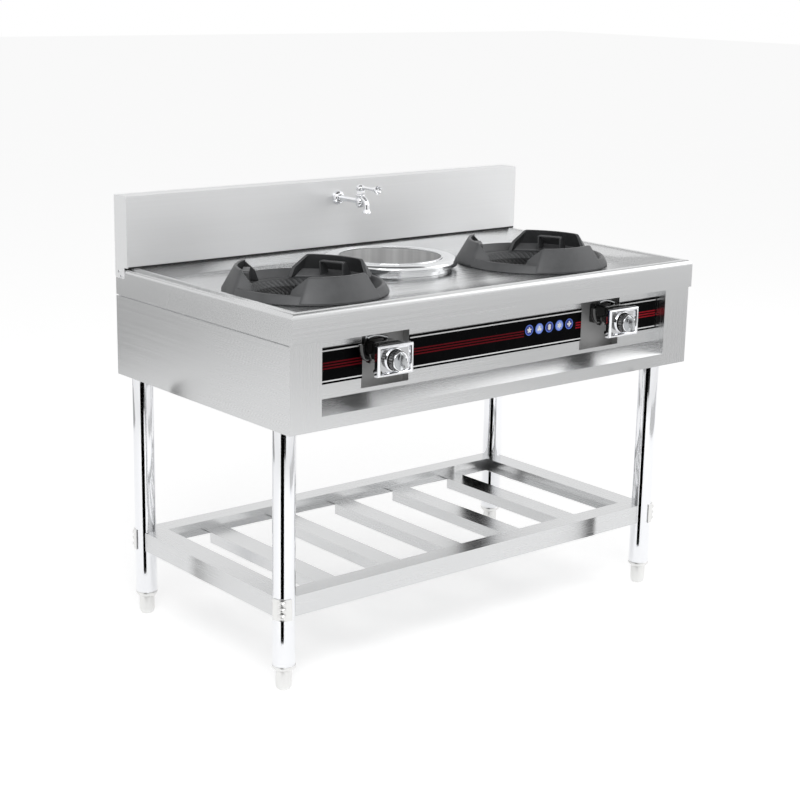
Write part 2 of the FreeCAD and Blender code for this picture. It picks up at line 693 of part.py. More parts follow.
# ---- valves, bezels and knobs ----------------------------------------------------------------
def valve_axis(side, y):
    return V(SIDES[side] * burner_x, y, valve_z)


def valve_body(side):
    middle = valve_axis(side, valve_y)
    body = block((middle.x - valve_width / 2, middle.x + valve_width / 2), (valve_y, valve_y + valve_length),
                 (valve_z - valve_under_axis, valve_z + valve_over_axis))
    long_edges = [e for e in body.Edges if e.BoundBox.YLength > 1]
    body = body.makeFillet(valve_edge, long_edges)
    return body.cut(rod(stem_radius + running_fit, middle - BACKWARD, BACKWARD * (stem_in_valve + 2)))


def bezel(side):
    middle = valve_axis(side, bezel_y)
    plate = block((middle.x - bezel_width / 2, middle.x + bezel_width / 2), (bezel_y, valve_y),
                  (valve_z - bezel_height / 2, valve_z + bezel_height / 2))
    front_edges = [e for e in plate.Edges if e.BoundBox.YMax < bezel_y + 0.01]
    plate = plate.makeChamfer(bezel_bevel, front_edges)
    return plate.cut(rod(bezel_hole, middle - BACKWARD, BACKWARD * (bezel_thickness + 2)))


def knob(side):
    back = valve_y - loose_gap
    grip_y = knob_face_y + knob_grip_depth
    body = rod(knob_radius, valve_axis(side, grip_y), BACKWARD * (back - grip_y))
    middle = valve_axis(side, knob_face_y)
    bar = block((middle.x - knob_grip_width / 2, middle.x + knob_grip_width / 2),
                (knob_face_y, grip_y), (valve_z - knob_radius, valve_z + knob_radius))
    bar = bar.common(rod(knob_radius - 1, middle, BACKWARD * knob_grip_depth))
    bore_depth = back - knob_face_y - stem_short_of_face
    bore = rod(stem_radius, valve_axis(side, knob_face_y + stem_short_of_face), BACKWARD * (bore_depth + 1))
    return body.fuse(bar).cut(bore).removeSplitter()


def valve_stem(side):
    start = knob_face_y + stem_short_of_face
    stop = valve_y + stem_in_valve - loose_gap
    return rod(stem_radius, valve_axis(side, start), BACKWARD * (stop - start))


def injectors():
    nozzles = []
    for side in SIDES:
        start = valve_axis(side, valve_y + valve_length)
        nut = prism(6, injector_hex, start, BACKWARD * injector_hex_length, UP)
        nozzles.append(nut.fuse(rod(injector_radius, start, BACKWARD * injector_length)))
    return grouped(nozzles)


def gas_manifold():
    y = panel_y + manifold_behind_panel
    half = burner_x + manifold_past_valve
    pipe = rod(manifold_radius, V(-half, y, manifold_z), ACROSS * (2 * half))
    for sign in SIDES.values():
        pipe = pipe.fuse(rod(riser_radius, V(sign * burner_x, y, manifold_z),
                             UP * (manifold_under_valve - valve_under_axis)))
    branch_end = back_y - back_inset - sheet - inlet_collar_length
    pipe = pipe.fuse(rod(manifold_radius, V(inlet_x, y, manifold_z), BACKWARD * (branch_end - y)))
    return pipe.removeSplitter()


def manifold_brackets():
    """Hooks on the back of the control panel, in which the gas pipe lies."""
    back = panel_y + sheet
    y = panel_y + manifold_behind_panel
    under = manifold_z - manifold_radius - bracket_sheet
    behind = y + manifold_radius + bracket_sheet
    line = [(back, under + bracket_rise), (back, under), (behind, under), (behind, manifold_z)]
    return grouped([folded(line, bracket_sheet,
                           lambda y, z: V(sign * bracket_x - bracket_width / 2, y, z), ACROSS * bracket_width)
                    for sign in SIDES.values()])


def gas_inlet():
    start = V(inlet_x, back_y - back_inset - sheet - inlet_collar_length, manifold_z)
    collar = rod(inlet_collar_radius, start, BACKWARD * inlet_collar_length)
    neck = rod(inlet_neck_radius, start, BACKWARD * (back_y - start.y))
    reach = back_y + inlet_reach - start.y
    stub = rod(inlet_radius, start, BACKWARD * reach)
    bore = rod(inlet_radius - pipe_wall, start + BACKWARD * inlet_collar_length, BACKWARD * reach)
    return collar.fuse([neck, stub]).cut(bore).removeSplitter()


# ---- pot well --------------------------------------------------------------------------------
def pot_collar():
    top = pot_top - trim_sheet - loose_gap - tray_z
    profile = [(collar_radius - trim_sheet, 0), (collar_radius, 0), (collar_radius, top),
               (collar_radius - collar_seat, top), (collar_radius - collar_seat, top - trim_sheet),
               (collar_radius - trim_sheet, top - trim_sheet)]
    return turned(profile, V(0, pot_y, tray_z))


def soup_pot():
    top, edge, base = pot_top - trim_sheet, pot_flange_radius - trim_sheet, pot_top - pot_depth
    roll = [(edge - pot_roll * (1 - math.sin(math.radians(turn))),
             top - pot_roll * (1 - math.cos(math.radians(turn)))) for turn in (0, 45, 90)]
    line = [(0, base), (pot_mouth - pot_corner, base), (pot_mouth, base + pot_corner), (pot_mouth, top)]
    line += roll + [(edge, pot_top - pot_skirt)]
    profile = line + offset_line(line, trim_sheet)[::-1]
    return turned([(max(radius, 0), height) for radius, height in profile], V(0, pot_y, 0))


def pot_handles():
    handles = []
    for sign in SIDES.values():
        centre = V(sign * handle_x, pot_y, pot_top - pot_skirt + handle_rod)
        ring = bent(handle_sides, handle_rod, centre - BACKWARD * handle_ring, ACROSS, centre, UP * sign, 180)
        handles.append(ring.cut(rod(pot_flange_radius, V(0, pot_y, tray_z), UP * (pot_top - tray_z))))
    return grouped(handles)


# ---- tap -------------------------------------------------------------------------------------
def tap_flange():
    bore, thick = supply_radius + slip, tap_flange_thickness
    profile = [(bore, 0), (tap_flange_radius, 0), (tap_flange_radius, -thick / 2),
               (tap_flange_crest, -thick), (bore, -thick)]
    return turned(profile, V(0, splash_y, tap_z), BACKWARD)


def tap_body():
    """The arm from the wall, the upright body and the spout with its flared end."""
    axis, forward = V(0, tap_y, 0), BACKWARD * -1
    wall = V(0, splash_y, tap_z)
    arm = turned([(0, 0), (tap_arm_radius, 0), (tap_arm_radius, tap_flange_thickness),
                  (tap_arm_end_radius, tap_reach), (0, tap_reach)], wall, forward)
    bottom = tap_z - tap_body_under_arm
    body = rod(tap_body_radius, axis + UP * bottom, UP * (tap_body_top - bottom))
    outlet_z = tap_z - spout_under_arm
    start = V(0, tap_y - spout_forward, outlet_z + spout_outlet_height + spout_flare + spout_bend)
    bend = bent(spout_sides, spout_radius, start, forward, start - UP * spout_bend, ACROSS, 90)
    outlet = V(0, start.y - spout_bend, outlet_z)
    crest = spout_outlet_height + spout_flare
    flare = turned([(0, 0), (spout_outlet_radius, 0), (spout_outlet_radius, spout_outlet_height),
                    (spout_radius, crest), (0, crest)], outlet)
    whole = arm.fuse([body, bend, flare])
    mouth = rod(spout_radius, outlet - UP, UP * spout_outlet_height)
    bore_z = tap_body_top + tap_cap_height - lever_stem
    stem_bore = rod(lever_rod + running_fit, axis + UP * bore_z, UP * lever_stem)
    return whole.cut([mouth, stem_bore]).removeSplitter()


def tap_cap():
    axis = V(0, tap_y, tap_body_top)
    cap = prism(6, tap_cap_radius, axis, UP * tap_cap_height, ACROSS)
    return cap.cut(rod(lever_rod + running_fit, axis - UP, UP * (tap_cap_height + 2)))


def tap_lever():
    """The domed hub, its arm with a flared cup at the end, and the stem."""
    base = V(0, tap_y, tap_body_top + tap_cap_height + loose_gap)
    height = lever_hub_height
    hub = turned([(0, 0), (lever_hub_radius, 0), (lever_hub_radius, lever_hub_shoulder),
                  (lever_hub_crest, height), (0, height)], base)
    arm = turned([(0, 0), (lever_rod, 0), (lever_rod, lever_length - lever_cup_depth),
                  (lever_cup, lever_length), (0, lever_length)], base + UP * (height / 2), BACKWARD * -1)
    stem = rod(lever_rod, base - UP * lever_stem, UP * (lever_stem + height / 2))
    return hub.fuse([arm, stem]).removeSplitter()


def tap_supply():
    """The pipe from the tap, down through the backsplash and the casing, with its threaded tail."""
    drop = V(0, supply_y, supply_bottom)
    pipe = rod(supply_radius, V(0, splash_y, tap_z), BACKWARD * (supply_y + supply_radius - splash_y))
    riser = rod(supply_radius, drop, UP * (tap_z + supply_radius - supply_bottom))
    nut = rod(supply_nut_radius, V(0, splash_y + trim_sheet, tap_z), BACKWARD * supply_nut_height)
    union = rod(supply_nut_radius, drop + UP * supply_thread_length, UP * supply_nut_height)
    thread = rod(supply_thread_radius, drop, UP * supply_thread_length)
    bore = rod(supply_radius - supply_wall, drop, UP * supply_thread_length)
    return pipe.fuse([riser, nut, union, thread]).cut(bore).removeSplitter()


# ---- all pieces ------------------------------------------------------------------------------
def all_pieces():
    pieces = {"cooktop": cooktop(), "backsplash": backsplash(), "backsplash_screws": backsplash_screws(),
              "back_panel": back_panel(), "front_ledge": front_ledge(), "control_panel": control_panel(),
              "fascia_strips": fascia_strips(), "leg_sockets": leg_sockets(), "foot_inserts": foot_inserts(),
              "shelf_slats": shelf_slats(), "shelf_clamps": shelf_clamps(),
              "shelf_clamp_bolts": shelf_clamp_bolts(), "burner_straps": burner_straps(),
              "injectors": injectors(), "gas_manifold": gas_manifold(), "gas_inlet": gas_inlet(),
              "manifold_brackets": manifold_brackets(),
              "pot_collar": pot_collar(), "soup_pot": soup_pot(), "pot_handles": pot_handles(),
              "tap_flange": tap_flange(), "tap_body": tap_body(), "tap_cap": tap_cap(),
              "tap_lever": tap_lever(), "tap_supply": tap_supply()}
    for name, axis in each_leg():
        pieces["leg_" + name] = leg(axis)
        pieces["foot_" + name] = foot(axis)
    for name, rail in shelf_long_rails().items():
        pieces["shelf_rail_" + name] = rail
    per_side = {"side_panel": side_panel, "front_stile": front_stile, "shelf_rail": shelf_end_rail_piece,
                "burner_bowl": burner_bowl, "wok_ring": wok_ring, "burner_head": burner_head,
                "venturi": venturi, "air_shutter": air_shutter, "valve_body": valve_body,
                "bezel": bezel, "knob": knob, "valve_stem": valve_stem}
    for name, make in per_side.items():
        for side in SIDES:
            pieces[name + "_" + side] = make(side)
    return pieces


def main():
    os.makedirs("parts", exist_ok=True)
    for name, shape in all_pieces().items():
        shape.exportStep("parts/" + name + ".step")
        print("%-22s solids %d  valid %s" % (name, len(shape.Solids), shape.isValid()))


main()
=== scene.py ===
"""Dresses the wok range: finishes, printed band, flame ribs, small fittings, studio and camera.

Metres. +X is the cook's right, +Y points to the back, +Z is up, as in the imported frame.
"""
from __future__ import annotations

import json
import logging
import math
from dataclasses import dataclass, field
from enum import Enum

import bmesh
import bpy
import numpy as np
from mathutils import Matrix, Vector

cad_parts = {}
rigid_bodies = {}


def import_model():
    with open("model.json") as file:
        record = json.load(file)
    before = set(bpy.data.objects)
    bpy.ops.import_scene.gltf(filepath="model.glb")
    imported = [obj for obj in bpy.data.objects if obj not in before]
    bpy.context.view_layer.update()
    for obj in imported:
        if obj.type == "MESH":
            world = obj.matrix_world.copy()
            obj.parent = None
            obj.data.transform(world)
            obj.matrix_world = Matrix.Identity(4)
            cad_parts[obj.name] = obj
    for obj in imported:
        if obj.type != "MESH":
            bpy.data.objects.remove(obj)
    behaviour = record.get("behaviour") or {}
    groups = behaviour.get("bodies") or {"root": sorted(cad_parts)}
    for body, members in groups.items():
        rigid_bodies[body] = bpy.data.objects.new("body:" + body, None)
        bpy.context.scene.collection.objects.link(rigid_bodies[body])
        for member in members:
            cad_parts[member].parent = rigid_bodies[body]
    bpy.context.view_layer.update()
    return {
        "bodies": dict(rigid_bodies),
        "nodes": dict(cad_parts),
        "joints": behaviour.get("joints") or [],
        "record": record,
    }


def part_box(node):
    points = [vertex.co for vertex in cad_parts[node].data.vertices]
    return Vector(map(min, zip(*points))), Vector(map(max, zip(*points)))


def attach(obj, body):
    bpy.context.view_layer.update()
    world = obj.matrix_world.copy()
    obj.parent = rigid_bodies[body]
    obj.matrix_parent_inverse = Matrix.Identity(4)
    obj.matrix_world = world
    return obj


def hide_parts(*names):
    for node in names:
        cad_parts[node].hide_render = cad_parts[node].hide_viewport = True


log = logging.getLogger("wok_range")

WELD = 1e-6                     # metres; seams and poles closer than this are merged
GRAIN_DEPTH = 0.0002            # metres; the reliefs of brushed, polished, cast and painted faces
SCRATCH_DEPTH = 0.00005
SAND_DEPTH = 0.0006
PEEL_DEPTH = 0.0001


class Side(Enum):
    """An end of the range, with its sign along X."""

    LEFT = -1
    RIGHT = 1

    @property
    def word(self) -> str:
        """The side's name as the nodes spell it."""
        return self.name.lower()


class Grain(Enum):
    """Direction of a brushed finish, as the noise's scale along X, Y and Z."""

    ALONG_X = (1.5, 260.0, 260.0)
    ALONG_Y = (260.0, 1.5, 260.0)
    ALONG_Z = (260.0, 260.0, 1.5)
    # Upright bands, used to paint reflection bands into a colour (painted sheen).
    BANDS = (26.0, 26.0, 0.4)


# ---- finishes --------------------------------------------------------------------------------
class Bench:
    """Adds and wires the nodes of one material."""

    def __init__(self, name: str) -> None:
        """Starts an empty material with an output and a main shader.

        Args:
            name: The material's name.
        """
        self.material = bpy.data.materials.new(name)
        self.material.use_nodes = True
        self.tree = self.material.node_tree
        self.tree.nodes.clear()
        self.output = self.add("ShaderNodeOutputMaterial")
        self.shader = self.add("ShaderNodeBsdfPrincipled")
        self.wire(self.shader.outputs["BSDF"], self.output.inputs["Surface"])

    def add(self, kind: str, **sockets: object) -> bpy.types.Node:
        """Adds a node and sets its inputs by name.

        Args:
            kind: The node's type.
            sockets: Input values, with underscores for spaces.

        Returns:
            The new node.
        """
        node = self.tree.nodes.new(kind)
        for name, value in sockets.items():
            node.inputs[name.replace("_", " ")].default_value = value
        return node

    def wire(self, source: bpy.types.NodeSocket, target: bpy.types.NodeSocket) -> None:
        """Links an output to an input."""
        self.tree.links.new(source, target)

    def noise(self, stretch: tuple[float, float, float], detail: float = 2.0,
              rough: float = 0.5) -> bpy.types.NodeSocket:
        """Noise on Object coordinates.

        Args:
            stretch: Scale along X, Y and Z, in cells per metre.
            detail: Octaves.
            rough: Weight of the finer octaves.

        Returns:
            The noise's factor.
        """
        place = self.add("ShaderNodeTexCoord")
        mapping = self.add("ShaderNodeMapping", Scale=stretch)
        noise = self.add("ShaderNodeTexNoise", Scale=1.0, Detail=detail, Roughness=rough)
        self.wire(place.outputs["Object"], mapping.inputs["Vector"])
        self.wire(mapping.outputs["Vector"], noise.inputs["Vector"])
        return noise.outputs["Fac"]

    def spread(self, source: bpy.types.NodeSocket, low: float, high: float) -> bpy.types.NodeSocket:
        """The source's middle range spread over low to high.

        Args:
            source: A factor around one half.
            low: Value at a factor of 0.3.
            high: Value at a factor of 0.7.

        Returns:
            The mapped value.
        """
        node = self.add("ShaderNodeMapRange", From_Min=0.3, From_Max=0.7, To_Min=low, To_Max=high)
        self.wire(source, node.inputs["Value"])
        return node.outputs["Result"]

    def tint(self, source: bpy.types.NodeSocket, dark: tuple[float, ...],
             light: tuple[float, ...]) -> None:
        """Colours the main shader between two colours.

        Args:
            source: Factor from 0 to 1.
            dark: Colour at 0.
            light: Colour at 1.
        """
        ramp = self.add("ShaderNodeValToRGB")
        ramp.color_ramp.elements[0].color = (*dark, 1.0)
        ramp.color_ramp.elements[1].color = (*light, 1.0)
        self.wire(source, ramp.inputs["Fac"])
        self.wire(ramp.outputs["Color"], self.shader.inputs["Base Color"])

    def bump(self, source: bpy.types.NodeSocket, height: float, strength: float) -> None:
        """Gives the main shader a relief.

        Args:
            source: Height factor.
            height: Distance in metres.
            strength: Share of the effect.
        """
        node = self.add("ShaderNodeBump", Strength=strength, Distance=height)
        self.wire(source, node.inputs["Height"])
        self.wire(node.outputs["Normal"], self.shader.inputs["Normal"])


def shade(colour: tuple[float, float, float], factor: float) -> tuple[float, float, float]:
    """The colour times a factor, capped at 1."""
    return tuple(min(1.0, channel * factor) for channel in colour)


@dataclass(frozen=True)
class Finish:
    """A named finish with a colour and a roughness."""

    name: str
    colour: tuple[float, float, float]
    roughness: float

    def build(self) -> bpy.types.Material:
        """The finish's material, made once."""
        found = bpy.data.materials.get(self.name)
        if found:
            return found
        bench = Bench(self.name)
        self.lay(bench)
        return bench.material

    def lay(self, bench: Bench) -> None:
        """Sets up the finish's nodes on the bench."""
        raise NotImplementedError


@dataclass(frozen=True)
class BrushedSheet(Finish):
    """Stainless sheet with a fine grain and faint smears."""

    grain: Grain = Grain.ALONG_X
    relief: float = 0.03
    metallic: float = 1.0
    # Spread of the grain's tint; a high value paints light and dark reflection bands (painted
    # sheen).
    grain_and_painted_sheen_contrast: float = 0.02

    def lay(self, bench: Bench) -> None:
        """Grain as stretched noise that also tints the colour, a painted sheen where its spread is
        high; smears as wide clouds in the roughness.
        """
        bench.shader.inputs["Metallic"].default_value = self.metallic
        grain = bench.noise(self.grain.value, 3.0, 0.6)
        smear = bench.noise((3.0, 3.0, 3.0), 2.0)
        # The tint follows the grain's noise; with upright bands and a wide spread it is painted
        # reflection.
        bench.tint(bench.spread(grain, 0.25, 0.75), shade(self.colour, 1 - self.grain_and_painted_sheen_contrast),
                   shade(self.colour, 1 + self.grain_and_painted_sheen_contrast))
        blend = bench.add("ShaderNodeMath")
        blend.operation = "ADD"
        bench.wire(bench.spread(grain, -0.02, 0.02), blend.inputs[0])
        bench.wire(bench.spread(smear, self.roughness * 0.95, self.roughness * 1.06),
                   blend.inputs[1])
        bench.wire(blend.outputs["Value"], bench.shader.inputs["Roughness"])
        bench.bump(grain, GRAIN_DEPTH, self.relief)


@dataclass(frozen=True)
class Polished(Finish):
    """Mirror-bright metal with a breath of haze and hair scratches."""

    def lay(self, bench: Bench) -> None:
        """Haze in the roughness, scratches as a thin relief."""
        bench.shader.inputs["Metallic"].default_value = 1.0
        haze = bench.noise((14.0, 14.0, 14.0), 3.0)
        scratch = bench.noise((900.0, 900.0, 40.0), 2.0)
        bench.tint(haze, shade(self.colour, 0.97), self.colour)
        bench.wire(bench.spread(haze, self.roughness * 0.7, self.roughness * 1.4),
                   bench.shader.inputs["Roughness"])
        bench.bump(scratch, SCRATCH_DEPTH, 0.05)


@dataclass(frozen=True)
class Casting(Finish):
    """Sand-cast iron: grainy, matt and slightly mottled."""

    grit: float = 700.0

    def lay(self, bench: Bench) -> None:
        """Sand grain as relief, mottling in colour and roughness."""
        bench.shader.inputs["Metallic"].default_value = 0.35
        sand = bench.noise((self.grit,) * 3, 4.0, 0.6)
        cloud = bench.noise((28.0,) * 3, 4.0)
        bench.tint(bench.spread(cloud, 0.1, 0.9), shade(self.colour, 0.82), shade(self.colour, 1.2))
        bench.wire(bench.spread(cloud, self.roughness - 0.08, self.roughness + 0.08),
                   bench.shader.inputs["Roughness"])
        bench.bump(sand, SAND_DEPTH, 0.35)


@dataclass(frozen=True)
class Coated(Finish):
    """Paint, enamel or glass-smooth lacquer over a solid colour."""

    coat: float = 0.5
    metallic: float = 0.0
    gloss: float = 0.5

    def lay(self, bench: Bench) -> None:
        """Orange-peel relief and a little dust in the roughness."""
        bench.shader.inputs["Metallic"].default_value = self.metallic
        bench.shader.inputs["Specular IOR Level"].default_value = self.gloss
        bench.shader.inputs["Coat Weight"].default_value = self.coat
        bench.shader.inputs["Coat Roughness"].default_value = 0.05
        peel = bench.noise((220.0,) * 3, 2.0)
        dust = bench.noise((40.0,) * 3, 3.0)
        bench.tint(bench.spread(dust, 0.2, 0.8), shade(self.colour, 0.9), shade(self.colour, 1.1))
        bench.wire(bench.spread(dust, self.roughness * 0.8, self.roughness * 1.3),
                   bench.shader.inputs["Roughness"])
        bench.bump(peel, PEEL_DEPTH, 0.08)


STEEL = (0.67, 0.675, 0.68)
SHEET_X = BrushedSheet("sheet brushed across", STEEL, 0.26, Grain.ALONG_X)
SHEET_Y = BrushedSheet("sheet brushed back to front", STEEL, 0.26, Grain.ALONG_Y)
SHEET_Z = BrushedSheet("sheet brushed upright", STEEL, 0.26, Grain.ALONG_Z)
SPLASH = BrushedSheet("backsplash sheet", (0.85, 0.855, 0.86), 0.5, Grain.ALONG_X, 0.02, 0.8)
# Pot inside: its upright light and dark bands in the colour are painted reflection bands.
SPUN_PAINTED_BANDS = BrushedSheet("spun inside", (0.72, 0.72, 0.72), 0.30, Grain.BANDS, 0.20, 0.5, 0.38)
LINER = Coated("liner paint", (0.46, 0.46, 0.46), 0.5, 0.0)
SEALANT = Coated("joint sealant", (0.030, 0.030, 0.030), 0.6, 0.0, 0.0, 0.2)
BRIGHT = Polished("bright rolled steel", (0.80, 0.81, 0.82), 0.10)
CHROME = Polished("chrome", (0.88, 0.88, 0.89), 0.04)
SATIN = BrushedSheet("satin nickel", (0.80, 0.80, 0.79), 0.33, Grain.ALONG_Z, 0.03)
ZINC = BrushedSheet("zinc plate", (0.55, 0.57, 0.60), 0.42, Grain.ALONG_X, 0.1)
IRON = Casting("cast iron", (0.095, 0.097, 0.100), 0.46)
BURNT_IRON = Casting("burnt iron", (0.016, 0.016, 0.017), 0.36, 420.0)
GLASS = Coated("black glass", (0.0012, 0.0012, 0.0016), 0.25, 0.0, 0.0, 0.03)
ENAMEL = Coated("black enamel", (0.010, 0.010, 0.010), 0.16, 0.8)
PIPE = Coated("pipe lacquer", (0.05, 0.052, 0.055), 0.4, 0.1)
BRASS = BrushedSheet("brass", (0.75, 0.56, 0.26), 0.3, Grain.ALONG_Y)
BOWL_IRON = Casting("bowl iron", (0.085, 0.087, 0.090), 0.45)
STEEL_HOSE = Polished("hose sleeve", (0.45, 0.46, 0.47), 0.16)
PRINT_WHITE = Coated("white print", (0.92, 0.92, 0.93), 0.35, 0.0)
# The stripes' red print darkened to a third: painted shade for the stripes left of the marks.
PRINT_RED_PAINTED_SHADE = Coated("dark red print", (0.12, 0.002, 0.006), 0.4, 0.0, 0.0, 0.06)
PRINT_BRIGHT_RED = Coated("red print", (0.36, 0.006, 0.016), 0.4, 0.0, 0.0, 0.08)
PRINT_BLUE = Coated("blue print", (0.10, 0.22, 0.85), 0.3, 0.3)
PRINT_NAVY = Coated("navy print", (0.015, 0.03, 0.28), 0.3, 0.3)
PRINT_SKY = Coated("sky print", (0.30, 0.42, 0.95), 0.3, 0.3)


# ---- surfaces --------------------------------------------------------------------------------
UPRIGHT = np.eye(3)                                                   # lathe axis +Z
TO_FRONT = np.array(((1.0, 0.0, 0.0), (0.0, 0.0, 1.0), (0.0, -1.0, 0.0)))    # lathe axis -Y
TO_LEFT = np.array(((0.0, 1.0, 0.0), (0.0, 0.0, 1.0), (-1.0, 0.0, 0.0)))     # lathe axis -X


def around(steps: int) -> np.ndarray:
    """Even angles of a full turn, without its end."""
    return np.linspace(0.0, 2 * math.pi, steps, endpoint=False)


def quarter(steps: int) -> np.ndarray:
    """Even angles of a quarter turn, with its end."""
    return np.linspace(0.0, math.pi / 2, steps)


def soften(points: np.ndarray, reach: float, closed: bool = False, steps: int = 5) -> np.ndarray:
    """Rounds the corners of a line with quadratic arcs.

    Each corner C becomes (1-t)^2 A + 2t(1-t) C + t^2 B, with A and B on its two runs, at the reach
    from C or half the run.

    Args:
        points: Corners, one row each.
        reach: Distance from a corner at which its rounding starts.
        closed: Whether the last point joins the first.
        steps: Points along each rounding.

    Returns:
        The rounded line.
    """
    points = np.asarray(points, dtype=float)
    before = np.roll(points, 1, axis=0) - points
    after = np.roll(points, -1, axis=0) - points
    if not closed:
        before[0], after[-1] = 0.0, 0.0
    shares = [np.minimum(0.5, reach / np.maximum(np.linalg.norm(run, axis=1), 1e-9))[:, None]
              for run in (before, after)]
    start, stop = points + before * shares[0], points + after * shares[1]
    t = np.linspace(0.0, 1.0, steps)[None, :, None]
    arcs = ((1 - t) ** 2 * start[:, None] + 2 * t * (1 - t) * points[:, None]
            + t ** 2 * stop[:, None])
    line = arcs.reshape(-1, points.shape[1])
    if closed:
        return line
    return np.concatenate((points[:1], line[steps:-steps], points[-1:]))


def lathe(profile: np.ndarray, centre: np.ndarray, axes: np.ndarray = UPRIGHT,
          steps: int = 96) -> np.ndarray:
    """Turns a profile about an axis: centre + r (cos a, sin a, 0) + (0, 0, h), in the given axes.

    Args:
        profile: Radius and height of each point.
        centre: A point on the axis.
        axes: Rows across, across and along.
        steps: Points round the axis.

    Returns:
        A grid with the angle first and the profile second.
    """
    angle = around(steps)[:, None]
    radius, height = np.asarray(profile, dtype=float).T
    local = np.stack((radius * np.cos(angle), radius * np.sin(angle),
                      np.broadcast_to(height, (steps, len(height)))), axis=-1)
    return np.asarray(centre) + local @ axes


def tube(path: np.ndarray, radius: np.ndarray | float, side: tuple[float, float, float],
         steps: int = 24) -> np.ndarray:
    """Carries a circle along a flat path: p + r (cos a n + sin a b), n = b x t.

    Args:
        path: Points of the path, in one plane.
        radius: One radius, or one for each point.
        side: Unit vector b square to the path's plane.
        steps: Points round the tube.

    Returns:
        A grid with the path first and the angle second.
    """
    path = np.asarray(path, dtype=float)
    along = np.gradient(path, axis=0)
    along /= np.linalg.norm(along, axis=1)[:, None]
    beside = np.cross(np.asarray(side), along)
    angle = around(steps)[None, :, None]
    reach = np.broadcast_to(radius, (len(path),))[:, None, None]
    ring = np.cos(angle) * beside[:, None] + np.sin(angle) * np.asarray(side)
    return path[:, None] + reach * ring


def wall(foot: np.ndarray, top: np.ndarray, thickness: float, rounding: float) -> np.ndarray:
    """A standing wall between a foot line and a top line, with rounded edges.

    Point = (1-b) foot + b top + a n, where (a, b) runs round a softened rectangle and n is the
    foot line's level normal, to its left.

    Args:
        foot: Lower line.
        top: Upper line, point for point.
        thickness: Wall thickness; below 0 it lies to the line's right.
        rounding: Reach of the edges' rounding.

    Returns:
        A grid with the line first and the section second.
    """
    along = np.gradient(foot, axis=0)
    normal = np.stack((-along[:, 1], along[:, 0], np.zeros(len(foot))), axis=-1)
    normal /= np.linalg.norm(normal, axis=1)[:, None]
    height = float(np.max(np.linalg.norm(top - foot, axis=1)))
    corners = np.array(((0, 0), (0, height), (thickness, height), (thickness, 0)))
    a, b = (soften(corners, rounding, True) / (1.0, height)).T
    b = b[None, :, None]
    return (1 - b) * foot[:, None] + b * top[:, None] + a[None, :, None] * normal[:, None]


def prism(outline: np.ndarray, run: np.ndarray) -> np.ndarray:
    """Two copies of an outline, a run apart, as a grid closed along the outline."""
    return np.stack((outline, outline + run))


def slab(low: tuple[float, float, float], high: tuple[float, float, float]) -> np.ndarray:
    """A box between two corners, as an upright prism."""
    (x0, y0, z0), (x1, y1, z1) = low, high
    outline = np.array(((x0, y0, z0), (x1, y0, z0), (x1, y1, z0), (x0, y1, z0)))
    return prism(outline, np.array((0.0, 0.0, z1 - z0)))


class Shell:
    """Gathers grids of points into one mesh of closed skins."""

    def __init__(self) -> None:
        """Starts empty."""
        self.points: list[np.ndarray] = []
        self.quads: list[np.ndarray] = []
        self.paints: list[np.ndarray] = []
        self.count = 0

    def skin(self, grid: np.ndarray, loop_u: bool = False, loop_v: bool = False,
             paint: int = 0) -> Shell:
        """Adds a grid as quads.

        Args:
            grid: Points, shaped (u, v, 3).
            loop_u: Whether the last row joins the first.
            loop_v: Whether the last column joins the first.
            paint: Index of the finish.

        Returns:
            The shell itself.
        """
        rows, columns = grid.shape[:2]
        u, v = np.meshgrid(np.arange(rows - (not loop_u)), np.arange(columns - (not loop_v)),
                           indexing="ij")
        next_u, next_v = (u + 1) % rows * columns, (v + 1) % columns
        u = u * columns
        quads = np.stack((u + v, next_u + v, next_u + next_v, u + next_v), axis=-1).reshape(-1, 4)
        self.points.append(grid.reshape(-1, 3))
        self.quads.append(quads + self.count)
        self.paints.append(np.full(len(quads), paint, dtype=np.int32))
        self.count += rows * columns
        return self

    def lid(self, loop: np.ndarray, paint: int = 0) -> Shell:
        """Closes a loop with a fan round its mean point."""
        hub = np.broadcast_to(loop.mean(axis=0), loop.shape)
        return self.skin(np.stack((loop, hub)), loop_v=True, paint=paint)

    def bar(self, grid: np.ndarray, paint: int = 0) -> Shell:
        """Adds a grid whose sections are loops, with a lid at each end."""
        return self.skin(grid, loop_v=True, paint=paint).lid(grid[0], paint).lid(grid[-1], paint)

    def spun(self, profile: np.ndarray, centre: np.ndarray, axes: np.ndarray = UPRIGHT,
             steps: int = 96, paint: int = 0, closed: bool = False) -> Shell:
        """Adds a full turn of a profile, which is a loop or starts and ends on the axis."""
        return self.skin(lathe(profile, centre, axes, steps), True, closed, paint)

    def make(self, name: str, finishes: list[Finish], body: str, slot: str,
             replaces: tuple[str, ...] = (), sharp: float = 38.0) -> bpy.types.Object:
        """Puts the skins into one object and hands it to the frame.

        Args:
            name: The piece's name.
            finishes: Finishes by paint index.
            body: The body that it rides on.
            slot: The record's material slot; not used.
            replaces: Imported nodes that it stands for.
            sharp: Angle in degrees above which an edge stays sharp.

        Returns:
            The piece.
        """
        points, quads = np.concatenate(self.points), np.concatenate(self.quads)
        mesh = bpy.data.meshes.new(name)
        mesh.vertices.add(len(points))
        mesh.vertices.foreach_set("co", points.ravel())
        mesh.loops.add(quads.size)
        mesh.loops.foreach_set("vertex_index", quads.ravel())
        mesh.polygons.add(len(quads))
        mesh.polygons.foreach_set("loop_start", np.arange(0, quads.size, 4))
        mesh.polygons.foreach_set("material_index", np.concatenate(self.paints))
        mesh.update(calc_edges=True)
        return finish_piece(mesh, name, finishes, body, replaces, sharp)


